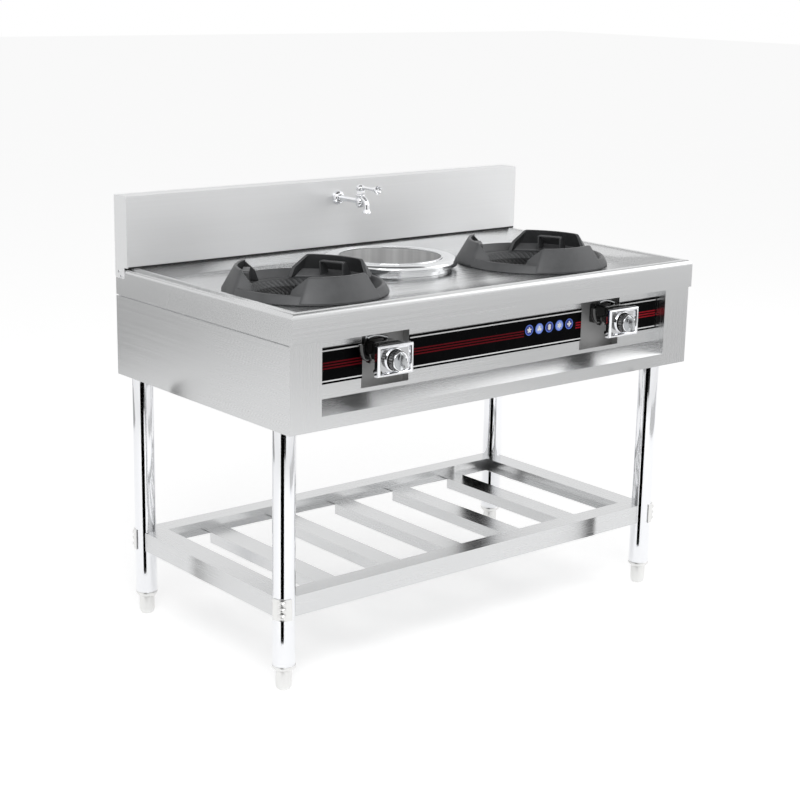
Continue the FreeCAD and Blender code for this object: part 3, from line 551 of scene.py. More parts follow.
def finish_piece(mesh: bpy.types.Mesh, name: str, finishes: list[Finish], body: str,
                 replaces: tuple[str, ...], sharp: float) -> bpy.types.Object:
    """Merges a mesh's seams, turns its faces outwards, dresses it and rides it on a body.

    Args:
        mesh: The mesh, with its place in its points.
        name: The piece's name.
        finishes: Finishes by paint index.
        body: The body that it rides on.
        replaces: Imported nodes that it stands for.
        sharp: Angle in degrees above which an edge stays sharp.

    Returns:
        The piece.
    """
    work = bmesh.new()
    work.from_mesh(mesh)
    bmesh.ops.remove_doubles(work, verts=work.verts, dist=WELD)
    bmesh.ops.dissolve_degenerate(work, edges=work.edges, dist=WELD)
    bmesh.ops.recalc_face_normals(work, faces=work.faces)
    work.to_mesh(mesh)
    work.free()
    mesh.shade_smooth()
    mesh.set_sharp_from_angle(angle=math.radians(sharp))
    for index, finish in enumerate(finishes):
        if index < len(mesh.materials):
            mesh.materials[index] = finish.build()
        else:
            mesh.materials.append(finish.build())
    piece = bpy.data.objects.new(name, mesh)
    bpy.context.collection.objects.link(piece)
    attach(piece, body)
    if replaces:
        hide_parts(*replaces)
    log.info("made %s, %d faces, on %s", name, len(mesh.polygons), body)
    return piece


def span(node: str) -> tuple[np.ndarray, np.ndarray]:
    """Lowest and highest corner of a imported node."""
    low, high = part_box(node)
    return np.array(low), np.array(high)


def middle(node: str) -> np.ndarray:
    """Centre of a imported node's box."""
    low, high = span(node)
    return (low + high) / 2


def round_box(node: str) -> tuple[np.ndarray, float, float, float]:
    """Upright axis at height 0, outside radius, base and top of a packed round node."""
    low, high = span(node)
    return np.array((*((low + high) / 2)[:2], 0.0)), (high[0] - low[0]) / 2, low[2], high[2]


# ---- worktop ---------------------------------------------------------------------------------
@dataclass
class Worktop:
    """The pressed sheet, welded so that its rounded edge shades as one sweep."""

    sharp: float = 24.0             # degrees; the edge's facets stay below it
    splash_depth: float = 0.053
    joint_inset: float = 0.003
    joint: tuple[float, float] = (0.0012, 0.0028)       # depth and height of the dark joint

    def build(self, nodes: dict[str, bpy.types.Object]) -> None:
        """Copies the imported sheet, merges it and takes its place."""
        mesh = nodes["cooktop"].data.copy()
        finish_piece(mesh, "worktop_sheet", [SHEET_X], "range", ("cooktop",),
                     self.sharp)
        splash_high = span("backsplash")[1]
        front, base = splash_high[1] - self.splash_depth, span("cooktop")[1][2]
        half, (deep, tall) = splash_high[0] - self.joint_inset, self.joint
        bead = slab((-half, front - deep, base - deep), (half, front + deep, base + tall))
        Shell().bar(bead).make("splash_joint", [SEALANT], "range", "black_enamel")


# ---- legs and feet ---------------------------------------------------------------------------
@dataclass
class Legs:
    """Chrome tubes, satin feet and the clamps that hold the shelf."""

    wall: float = 0.0015
    tube_edge: float = 0.0004       # rounding of a tube's ends
    collar_height: float = 0.013
    collar_proud: float = 0.0012
    collar_low: float = 0.0195      # radius of the tapered underside's foot
    collar_taper: float = 0.006
    collar_brow: float = 0.004      # from the widest place up to the tube
    collar_ease: float = 0.0006
    collar_edge: float = 0.0015
    plug_gap: float = 0.0002
    plug_height: float = 0.036
    tip_radius: float = 0.009
    tip_height: float = 0.014
    stem_radius: float = 0.008
    stem_length: float = 0.040
    neck_edge: float = 0.0012
    clamp_half: float = math.radians(50.0)
    clamp_gap: float = 0.0001
    clamp_wall: float = 0.003
    bump_half_angle: float = math.radians(30.0)
    bump_height: float = 0.0042
    bump_pitch: float = 0.0145
    bump_reach: float = 1.5         # pitches from the middle to the last pad's end
    names: tuple[str, ...] = ("front_left", "front_right", "rear_left", "rear_right")

    def tubes(self) -> None:
        """One open tube for each leg."""
        for name in self.names:
            axis, radius, base, top = round_box("leg_" + name)
            inner = radius - self.wall
            profile = soften([(radius, base), (radius, top), (inner, top), (inner, base)],
                             self.tube_edge, True, 3)
            Shell().spun(profile, axis, steps=160, closed=True).make(
                "leg_tube_" + name, [CHROME], "range", "chrome", ("leg_" + name,))

    def collars(self) -> None:
        """The inserts' rolled collars with their tapered undersides, and the plugs above them."""
        shell = Shell()
        for name in self.names:
            axis, radius, base, _ = round_box("leg_" + name)
            lip, plug = radius + self.collar_proud, radius - self.wall - self.plug_gap
            down, crown = base - self.collar_height, base + self.plug_height
            rolled = soften([(self.collar_low, down), (lip - 0.001, down + self.collar_taper),
                             (lip, base - self.collar_brow), (lip - self.collar_ease, base),
                             (plug, base)], self.collar_edge)
            profile = np.concatenate(([(self.stem_radius, down)], rolled,
                                      [(plug, crown), (self.stem_radius, crown)]))
            shell.spun(profile, axis, closed=True)
        shell.make("foot_collars", [SATIN], "range", "satin_nickel", ("foot_inserts",))

    def feet(self) -> None:
        """Bullet-shaped feet: radius = tip + (R - tip) sin t, height = h (1 - cos t)."""
        t = quarter(14)
        for name in self.names:
            axis, radius, _, top = round_box("foot_" + name)
            shoulder = top - self.stem_length
            nose = np.stack((self.tip_radius + (radius - self.tip_radius) * np.sin(t),
                             self.tip_height * (1 - np.cos(t))), axis=-1)
            neck = soften([(radius, self.tip_height), (radius, shoulder),
                           (self.stem_radius, shoulder)], self.neck_edge)
            profile = np.concatenate(([(0.0, 0.0)], nose, neck[1:],
                                      [(self.stem_radius, top), (0.0, top)]))
            Shell().spun(profile, axis, steps=72).make(
                "foot_bullet_" + name, [SATIN], "levelling_foot_" + name, "satin_nickel",
                ("foot_" + name,))

    def clamps(self) -> None:
        """Saddles with three pressed pads each: relief = h cos^2(a) cos^2(z) inside each pad."""
        shell = Shell()
        low, high = span("shelf_clamps")
        height = np.linspace(low[2], high[2], 90)
        above, last = height - (low[2] + high[2]) / 2, self.bump_reach - 0.01
        row = np.clip(above / self.bump_pitch, -last, last)
        pad = np.cos(math.pi * (row - np.round(row))) ** 2
        inside = np.abs(above) < self.bump_reach * self.bump_pitch
        angle = np.linspace(-self.clamp_half, self.clamp_half, 60)[:, None]
        across = np.cos(np.clip(angle / self.bump_half_angle, -1, 1) * math.pi / 2) ** 2
        level = np.concatenate((height, height[::-1]))[None, :]
        for name in self.names:
            axis, radius, _, _ = round_box("leg_" + name)
            inner = radius + self.clamp_gap
            outer = inner + self.clamp_wall + self.bump_height * pad * across * inside
            ring = np.concatenate((outer, np.full_like(outer, inner)), axis=1)
            ahead = math.atan2(1.0 if "rear" in name else -1.0, 1.0 if "right" in name else -1.0)
            turn = ahead + angle
            grid = np.stack((axis[0] + ring * np.cos(turn), axis[1] + ring * np.sin(turn),
                             np.broadcast_to(level, ring.shape)), axis=-1)
            shell.skin(grid, loop_v=True)
            for end in (grid[0], grid[-1]):
                shell.skin(np.stack((end[:len(height)], end[len(height):][::-1])))
        shell.make("clamp_saddles", [SATIN], "range", "satin_nickel",
                   ("shelf_clamps", "shelf_clamp_bolts"))

    def build(self) -> None:
        """Builds tubes, collars, feet and clamps."""
        self.tubes()
        self.collars()
        self.feet()
        self.clamps()


# ---- control band ----------------------------------------------------------------------------
@dataclass
class ControlBand:
    """Prints on the black strips, and the painted liners behind the cut-outs between them."""

    proud: float = 0.0003
    edge_line: float = 0.0060       # from a strip's edge to its white line's middle
    line_half: float = 0.0014
    stripe_half: float = 0.0015
    stripe_heights: tuple[float, ...] = (0.045, 0.039, 0.033)     # over the strip's lower edge
    stripe_gap: tuple[float, float] = (0.077, 0.243)              # where the marks stand
    mark_places: tuple[float, ...] = (0.093, 0.125, 0.157, 0.189, 0.221)
    mark_height: float = 0.0455
    mark_radius: float = 0.0125
    mark_layers: tuple[tuple[float, float], ...] = (              # shares of radius and proud
        (1.0, 1.0), (0.84, 1.8), (0.55, 2.6))
    mark_signs: tuple[tuple[int, float], ...] = (                 # lobes and their depth
        (5, 0.55), (3, 0.6), (2, 0.5), (6, 0.5), (4, 0.65))
    liner_depth: float = 0.024
    liner_sheet: float = 0.0012
    liner_margin: float = 0.004     # past the cut-out's ends
    liner_inset: float = 0.003      # inside the panel's upper and lower edge
    liner_shrink: float = 0.012     # share by which the inner skin is smaller

    def segments(self, node: bpy.types.Object) -> np.ndarray:
        """Left and right end of each strip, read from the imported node's corners."""
        places = np.empty(len(node.data.vertices) * 3)
        node.data.vertices.foreach_get("co", places)
        return np.unique(np.round(places[0::3], 5)).reshape(-1, 2)

    def print_bar(self, ends: tuple[float, float], front: float, level: float,
                  half: float) -> np.ndarray:
        """A printed bar from end to end, about a level, standing proud of the front."""
        return slab((ends[0], front - self.proud, level - half), (ends[1], front, level + half))

    def lines(self, spans: np.ndarray, front: float, low: float, high: float) -> None:
        """White lines along both edges of each strip."""
        shell = Shell()
        for ends in spans:
            for level in (high - self.edge_line, low + self.edge_line):
                shell.bar(self.print_bar(ends, front, level, self.line_half))
        shell.make("band_lines", [PRINT_WHITE], "range", "black_glass")

    def stripes(self, spans: np.ndarray, front: float, low: float) -> None:
        """Three red stripes, left out where the marks stand; left of the marks the red is darkened
        as painted shade.
        """
        shell = Shell()
        gap = self.stripe_gap
        # Paint 0, left of the marks, is the red darkened as painted shade; paint 1 is the print's
        # own red.
        runs = ((spans[0], 0), ((spans[1][0], gap[0]), 0), ((gap[1], spans[1][1]), 1),
                (spans[2], 1))
        for ends, paint in runs:
            for height in self.stripe_heights:
                shell.bar(self.print_bar(ends, front, low + height, self.stripe_half), paint)
        shell.make("band_stripes", [PRINT_RED_PAINTED_SHADE, PRINT_BRIGHT_RED], "range", "black_glass")

    def disc(self, centre: np.ndarray, outline: np.ndarray, depth: float) -> np.ndarray:
        """A flat plate: an outline of (x, z) offsets from a centre, raised towards the front."""
        flat = np.stack((outline[:, 0], np.zeros(len(outline)), outline[:, 1]), axis=-1) + centre
        return prism(flat, np.array((0.0, -depth, 0.0)))

    def lobes(self, radius: float, count: int, depth: float) -> np.ndarray:
        """A lobed outline: r = R (1 - d + d |cos(n a / 2)|)."""
        angle = around(96)
        reach = radius * (1 - depth + depth * np.abs(np.cos(count * angle / 2)))
        return np.stack((reach * np.sin(angle), reach * np.cos(angle)), axis=-1)

    def marks(self, front: float, low: float) -> None:
        """Five round marks: a rim, a disc and a lobed sign, light and dark in turn."""
        shell = Shell()
        for i, (x, sign) in enumerate(zip(self.mark_places, self.mark_signs)):
            centre = np.array((x, front, low + self.mark_height))
            forms, paints = ((1, 0.0), (1, 0.0), sign), (0, 1 + i % 2, 3)
            for (share, lift), form, paint in zip(self.mark_layers, forms, paints):
                outline = self.lobes(self.mark_radius * share, *form)
                shell.bar(self.disc(centre, outline, self.proud * lift), paint)
        shell.make("band_marks", [PRINT_BLUE, PRINT_NAVY, PRINT_SKY, PRINT_WHITE], "range",
                   "black_glass")

    def liners(self, spans: np.ndarray) -> None:
        """A shallow painted tray behind each cut-out, between two strips, on the panel's back."""
        low, high = span("control_panel")
        z0, z1 = low[2] + self.liner_inset, high[2] - self.liner_inset
        push = np.array((0.0, self.liner_depth, 0.0))
        for side, left, right in zip(Side, spans[:-1, 1], spans[1:, 0]):
            x0, x1 = left - self.liner_margin, right + self.liner_margin
            rim = np.array([(x, high[1], z) for x, z in ((x0, z0), (x1, z0), (x1, z1), (x0, z1))])
            inner = rim + (rim.mean(axis=0) - rim) * self.liner_shrink
            outside = np.stack((rim, rim + push))
            inside = np.stack((inner, inner + push - (0.0, self.liner_sheet, 0.0)))
            shell = Shell().skin(outside, loop_v=True).lid(outside[-1])
            shell.skin(inside, loop_v=True).lid(inside[-1])
            shell.skin(np.stack((rim, inner)), loop_v=True)
            shell.make("liner_" + side.word, [LINER], "range", "pipe_paint")

    def build(self, nodes: dict[str, bpy.types.Object]) -> None:
        """Builds lines, stripes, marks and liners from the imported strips."""
        low, high = span("fascia_strips")
        spans = self.segments(nodes["fascia_strips"])
        self.lines(spans, low[1], low[2], high[2])
        self.stripes(spans, low[1], low[2])
        self.marks(low[1], low[2])
        self.liners(spans)


# ---- valves, bezels and knobs ----------------------------------------------------------------
@dataclass
class ValveUnit:
    """One burner's valve box, its stepped chrome bezel and its knob."""

    side: Side
    bezel_steps: tuple[tuple[float, float], ...] = (
        (0.0, 0.0145), (0.0, 0.005), (0.0025, 0.0), (0.0055, 0.0006), (0.0075, 0.0045),
        (0.0085, 0.0075), (0.0095, 0.0075))           # inset and depth behind the front
    bezel_ease: float = 0.0012
    hole_radius: float = 0.024
    hole_lip: tuple[tuple[float, float], ...] = (     # past the hole's radius, behind the plate
        (0.0006, 0.0), (0.0004, -0.0030), (-0.0004, -0.0034), (-0.0012, -0.0026))
    hole_back: float = -0.0014
    knob_radius: float = 0.022
    core_radius: float = 0.0055
    grip_depth: float = 0.020
    grip_half: float = 0.0068
    grip_edge: float = 0.0008       # half width that is left at the grip's ends
    flutes: int = 28
    flute_depth: float = 0.0009
    face_inset: float = 0.0022
    box_rows: tuple[tuple[float, float], ...] = (     # depth behind the front and swell
        (0.0, 0.97), (0.001, 1.0), (0.018, 1.0), (0.019, 0.93), (0.023, 0.93), (0.024, 1.0),
        (0.050, 1.0), (0.051, 0.93), (0.055, 0.93), (0.056, 1.0))
    box_corner: float = 0.006
    elbow_radius: float = 0.0062
    crown_radius: float = 0.0045
    stub_radius: float = 0.0042

    def plate_row(self, centre: np.ndarray, radius: np.ndarray | float, y: float) -> np.ndarray:
        """A closed row of points at a depth, at one radius or one for each angle."""
        angle = around(144)
        radius = np.broadcast_to(radius, angle.shape)
        return np.stack((centre[0] + radius * np.cos(angle), np.full_like(angle, y),
                         centre[2] + radius * np.sin(angle)), axis=-1)

    def edge_radius(self, across: float, up: float) -> np.ndarray:
        """Distance to a rectangle's edge at each angle: min(w / |cos a|, h / |sin a|)."""
        angle = around(144)
        return np.minimum(across / np.maximum(np.abs(np.cos(angle)), 1e-6),
                          up / np.maximum(np.abs(np.sin(angle)), 1e-6))

    def frame(self) -> None:
        """A stepped profile carried round a rectangle, a plate with a round hole, and its lip."""
        node = "bezel_" + self.side.word
        low, high = span(node)
        centre, half = (low + high) / 2, (high - low) / 2
        inset, depth = soften(self.bezel_steps, self.bezel_ease).T
        signs = np.array(((-1, -1), (1, -1), (1, 1), (-1, 1)))
        corners = np.stack((centre[0] + signs[:, :1] * (half[0] - inset),
                            np.broadcast_to(low[1] + depth, (4, len(depth))),
                            centre[2] + signs[:, 1:] * (half[2] - inset)), axis=-1)
        plate, hole = float(corners[0, -1, 1]), self.hole_radius
        inner = self.edge_radius(half[0] - inset[-1], half[2] - inset[-1])
        rows = [self.plate_row(centre, inner, plate)]
        rows += [self.plate_row(centre, hole + past, plate + y) for past, y in self.hole_lip]
        rows += [self.plate_row(centre, hole + self.hole_back, high[1]),
                 self.plate_row(centre, self.edge_radius(half[0], half[2]), high[1])]
        Shell().skin(corners, loop_u=True).skin(np.stack(rows), loop_v=True).make(
            "bezel_frame_" + self.side.word, [CHROME], "range", "chrome", (node,), 30.0)

    def barrel(self, shell: Shell, middle_point: np.ndarray, length: float) -> None:
        """Adds the fluted barrel: r = R - d |sin(n a / 2)| on its outside."""
        outer = self.knob_radius
        profile = soften([(self.core_radius, -length), (outer - 0.001, -length),
                          (outer, -length + 0.004), (outer, -0.002), (outer - 0.0015, 0.0),
                          (self.core_radius, 0.0)], 0.001)
        steps = self.flutes * 8
        level = middle_point * (1, 0, 1)
        local = lathe(profile, middle_point, TO_FRONT, steps) - level
        angle = np.arange(steps)[:, None, None] / steps * 2 * math.pi
        radius = np.hypot(local[..., 0], local[..., 2])[..., None]
        flute = np.where(radius > outer - 0.0005,
                         self.flute_depth * np.abs(np.sin(self.flutes * angle / 2)), 0)
        scale = 1 - flute / np.maximum(radius, 1e-6)
        grid = np.concatenate((local[..., :1] * scale, local[..., 1:2], local[..., 2:] * scale),
                              axis=-1)
        shell.skin(grid + level, True, True)

    def knob(self) -> None:
        """A fluted black barrel, a chrome face with a rim, and a lens-shaped grip.

        Grip: half width = w (1 - s^2) + e, height = g (1 - s^4)(1 - |v|^1.8), with s along the grip
        and v across it.
        """
        node = "knob_" + self.side.word
        low, high = span(node)
        centre = (low + high) / 2
        face = low[1] + self.grip_depth
        front = np.array((centre[0], face, centre[2]))
        shell = Shell()
        self.barrel(shell, front, high[1] - face)
        rim = self.knob_radius - self.face_inset
        cap = soften([(0.0, 0.0012), (rim - 0.003, 0.0008), (rim - 0.0018, 0.0018), (rim, 0.0018),
                      (rim + 0.0004, 0.0)], 0.0008)
        shell.spun(np.concatenate((cap, [(0.0, -0.0005)])), front, TO_FRONT, 120, paint=1)
        s = np.linspace(-1.0, 1.0, 49)[:, None]
        v = np.linspace(-1.0, 1.0, 25)[None, :]
        x = centre[0] + v * (self.grip_half * (1 - s ** 2) + self.grip_edge)
        lift = (self.grip_depth - 0.001) * (1 - s ** 4) * (1 - np.abs(v) ** 1.8)
        z = centre[2] + np.broadcast_to(s * (self.knob_radius - 0.0012), x.shape)
        top = np.stack((x, face - 0.001 - lift, z), axis=-1)
        floor = top.copy()
        floor[..., 1] = face + 0.0004
        shell.skin(top, paint=2).skin(floor, paint=2)
        for edge in ((top[:, 0], floor[:, 0]), (top[:, -1], floor[:, -1]), (top[0], floor[0]),
                     (top[-1], floor[-1])):
            shell.skin(np.stack(edge), paint=2)
        shell.make("knob_" + self.side.word + "_fluted", [ENAMEL, CHROME, STEEL_HOSE],
                   "control_" + self.side.word, "knob_black", (node,), 32.0)

    def box(self) -> None:
        """The black valve box with its cast ribs, union nut, elbow and lighter's lead stub."""
        node = "valve_body_" + self.side.word
        low, high = span(node)
        centre, deep = (low + high) / 2, high[1] - low[1]
        edge = soften([(low[0], low[2]), (high[0], low[2]), (high[0], high[2]), (low[0], high[2])],
                      self.box_corner, True)
        flat = np.stack((edge[:, 0], np.zeros(len(edge)), edge[:, 1]), axis=-1)
        depths, swell = np.array(self.box_rows + ((deep - 0.001, 1.0), (deep, 0.97))).T
        axis = centre * (1, 0, 1)
        rows = axis + (flat - axis) * swell[:, None, None] + depths[:, None, None] * (0, 1, 0)
        rows[..., 1] += low[1]
        shell = Shell().bar(rows)
        nut_at = np.array((low[0], low[1] + 0.030, low[2] + 0.012))
        nut = soften([(0.0, -0.004), (0.011, -0.004), (0.012, 0.0), (0.012, 0.010),
                      (0.011, 0.012), (0.0, 0.012)], 0.0008)
        shell.spun(nut, nut_at, TO_LEFT, 6)
        t = np.linspace(0.0, 1.0, 30)[:, None]
        start, stop = nut_at + (-0.010, 0, 0), nut_at + (-0.030, 0, 0.032)
        bend = start * (0, 1, 1) + stop * (1, 0, 0)
        elbow = (1 - t) ** 2 * start + 2 * t * (1 - t) * bend + t ** 2 * stop
        shell.bar(tube(elbow, self.elbow_radius, (0.0, 1.0, 0.0)))
        t = t[:, 0]
        crown = np.stack((centre[0] - (0.052 - 0.070 * t), low[1] + 0.022 + 0.020 * t,
                          high[2] + 0.002 + 0.012 * np.sin(math.pi * (0.35 + 0.65 * t))), axis=-1)
        shell.bar(tube(crown, self.crown_radius, (0.0, 1.0, 0.0)), 1)
        stub_at = np.array((low[0] - 0.010, low[1] + 0.004, low[2] - 0.012))
        stub = soften([(0.0, -0.006), (self.stub_radius, -0.006), (self.stub_radius, 0.016),
                       (0.0, 0.016)], 0.001)
        shell.spun(stub, stub_at, TO_FRONT * (1, 1, -1), 24)
        shell.make("valve_box_" + self.side.word, [ENAMEL, STEEL_HOSE], "range", "black_enamel",
                   (node,))

    def build(self) -> None:
        """Builds the bezel, the knob and the valve box."""
        self.frame()
        self.knob()
        self.box()


# ---- burners ---------------------------------------------------------------------------------
@dataclass
class Burner:
    """One burner: ribbed bowl, studded head and the lift-off cast ring with three ears."""

    side: Side
    flange_height: float = 0.003
    flange_width: float = 0.011
    bowl_wall: float = 0.005
    throat: float = 0.068
    rib_count: int = 60
    rib_twist: float = 0.45         # radians from rim to throat
    soot_line: float = 0.27         # share of the wall above the soot
    rib_height: float = 0.0026
    ring_height: float = 0.020
    ring_inner: float = 0.157
    ear_angles: tuple[float, ...] = (143.0, 26.0, -98.0)
    ear_rise: float = 0.036
    ear_base_half: float = math.radians(33.0)
    ear_top_half: float = math.radians(27.0)
    ear_lean: float = 0.030
    ear_reach: float = 0.080
    ear_wall: float = 0.008
    ring_inset: float = 0.0118
    pocket: tuple[float, float, float] = (0.062, 0.044, 0.034)     # width, depth, height
    pocket_wall: float = 0.004
    stud_pitch: float = 0.0085
    stud_height: float = 0.0016

    def centre(self) -> np.ndarray:
        """The burner's axis on the tray."""
        axis = round_box("burner_bowl_" + self.side.word)[0]
        return axis + (0.0, 0.0, span("wok_ring_" + self.side.word)[0][2])

    def bowl(self) -> None:
        """A cone with two crossing families of ribs: h max(0, cos(n (a +- k v)))^2, v down it."""
        node = "burner_bowl_" + self.side.word
        centre, rim, base, top = round_box(node)
        outer = rim - self.flange_width
        seat = top - self.flange_height
        v = np.linspace(0.0, 1.0, 56)
        inner = outer - self.bowl_wall
        radius = inner + (self.throat - inner) * v
        height = top + (base + self.bowl_wall - top) * v
        steps = self.rib_count * 12
        angle = around(steps)[:, None]
        twist = self.rib_twist * v
        ribs = sum(share * np.maximum(0.0, np.cos(self.rib_count * (angle + way * twist))) ** 2
                   for way, share in ((1.0, 1.0), (-1.0, 0.25)))
        fade = np.minimum(1.0, np.minimum(v, 1 - v) * 12)
        lift = self.rib_height * ribs * fade
        reach, level = radius - lift * 0.6, height + lift * 0.8
        plain = np.array([(self.throat, base), (self.throat + self.bowl_wall, base), (outer, seat),
                          (rim, seat), (rim, top - 0.0008), (rim - 0.0008, top)])
        reach = np.concatenate((reach, np.broadcast_to(plain[:, 0], (steps, len(plain)))), axis=1)
        level = np.concatenate((np.broadcast_to(level, (steps, len(v))),
                                np.broadcast_to(plain[:, 1], (steps, len(plain)))), axis=1)
        grid = np.stack((reach * np.cos(angle), reach * np.sin(angle), level), axis=-1) + centre
        soot = int(self.soot_line * len(v))
        shell = Shell().skin(grid[:, soot:len(v)], True, paint=1)
        shell.skin(grid[:, len(v) - 1:], True)
        closing = np.concatenate((grid[:, -1:], grid[:, :soot + 1]), axis=1)
        shell.skin(closing, True).make("bowl_ribbed_" + self.side.word, [BOWL_IRON, BURNT_IRON],
                                       "range", "cast_iron", (node,))

    def head(self) -> None:
        """A mushroom with a crown of studs: z + h cos(2 pi x / p) cos(2 pi y / p)."""
        node = "burner_head_" + self.side.word
        axis, radius, base, top = round_box(node)
        tall = top - base
        crown = np.stack((np.linspace(0.0, radius - 0.004, 60), np.full(60, tall - 0.001)), axis=-1)
        rest = soften([(radius - 0.004, tall - 0.001), (radius, tall - 0.006),
                       (radius, tall * 0.58), (0.040, 0.012), (0.040, 0.0), (0.0, 0.0)], 0.0015)
        grid = lathe(np.concatenate((crown[:-1], rest)), axis + (0.0, 0.0, base), steps=220)
        x, y = grid[..., 0] - axis[0], grid[..., 1] - axis[1]
        turns = 2 * math.pi / self.stud_pitch
        waffle = np.cos(turns * x) * np.cos(turns * y)
        on_top = (grid[..., 2] > base + tall - 0.0015) & (np.hypot(x, y) < radius - 0.005)
        grid[..., 2] += np.where(on_top, self.stud_height * waffle - 0.0006, 0.0)
        Shell().skin(grid, loop_u=True).make("head_studded_" + self.side.word, [BURNT_IRON],
                                             "range", "cast_iron", (node,))

    def ear_lines(self) -> tuple[np.ndarray, np.ndarray]:
        """Foot line and top line of an ear: out one rib, round the arc and back by the other.

        Returns:
            Two lines of equal count, for an ear that points along +X.
        """
        outer = self.outer_radius()
        base_r, top_r, inner = outer, outer - self.ear_lean, outer - self.ear_reach
        low_z, top_z = 0.003, self.ring_height + self.ear_rise
        share = np.linspace(0.0, 1.0, 14)[:, None]
        lines = []
        spread = base_r * math.sin(self.ear_base_half)
        narrowing = spread - top_r * math.sin(self.ear_top_half)
        runs = ((base_r, self.ear_base_half, inner, low_z, low_z),
                (top_r, self.ear_top_half, inner + self.ear_wall,
                 self.ring_height + self.ear_wall, top_z))
        for radius, half, end, start_z, stop_z in runs:
            angle = np.linspace(half, -half, 44)[:, None]
            arc = np.concatenate((radius * np.cos(angle), radius * np.sin(angle),
                                  np.full_like(angle, stop_z)), axis=1)
            rise = max((start_z - self.ring_height) / self.ear_rise, 0.0)
            tip = np.array((end, spread - rise * narrowing, start_z))
            rib = tip + (arc[0] - tip) * share[:-1]
            line = np.concatenate((rib, arc, (rib * (1, -1, 1))[::-1]))
            for _ in range(2):
                line[1:-1] = (line[:-2] + 2 * line[1:-1] + line[2:]) / 4
            lines.append(line)
        return lines[0], lines[1]

    def outer_radius(self) -> float:
        """The ring's outside radius, from its front edge to the burner's axis."""
        return float(self.centre()[1] - span("wok_ring_" + self.side.word)[0][1])

    def turned(self, grid: np.ndarray, degrees: float) -> np.ndarray:
        """A grid turned about the burner's axis and moved to it."""
        angle = math.radians(degrees)
        spin = np.array(((math.cos(angle), math.sin(angle), 0.0),
                         (-math.sin(angle), math.cos(angle), 0.0), (0.0, 0.0, 1.0)))
        return grid @ spin + self.centre()

    def ring(self) -> None:
        """A rounded section turned round, ears as U-shaped walls, pockets as box walls."""
        node = "wok_ring_" + self.side.word
        outer, rise = self.outer_radius(), self.ring_height
        section = soften([(self.ring_inner, 0.0), (outer - 0.0016, 0.0), (outer - 0.0020, 0.003),
                          (outer - self.ring_inset, rise), (outer - self.ring_inset - 0.006, rise),
                          (self.ring_inner + 0.001, 0.004)], 0.0022, True)
        shell = Shell().spun(section, self.centre(), steps=200, closed=True)
        foot, top = self.ear_lines()
        width, depth, height = self.pocket
        back = outer - self.ring_inset - self.ear_wall
        base = rise - self.ear_wall
        path = soften([(-width / 2, base, 0.0), (-width / 2, base + height, 0.0),
                       (width / 2, base + height, 0.0), (width / 2, base, 0.0)], 0.005)
        against = path.copy()
        against[:, 2] = (path[:, 1] - base) * self.ear_lean / self.ear_rise
        frame = wall(against, path + (0.0, 0.0, depth), -self.pocket_wall, 0.0018)
        frame = frame[..., (2, 0, 1)] * (-1, 1, 1) + (back, 0.0, 0.0)
        for angle in self.ear_angles:
            shell.bar(self.turned(wall(foot, top, -self.ear_wall, 0.0026), angle))
            shell.bar(self.turned(frame, angle))
        shell.make("ring_cast_" + self.side.word, [IRON], "ring_" + self.side.word, "cast_iron",
                   (node,))

    def build(self) -> None:
        """Builds the bowl, the head and the ring."""
        self.bowl()
        self.head()
        self.ring()


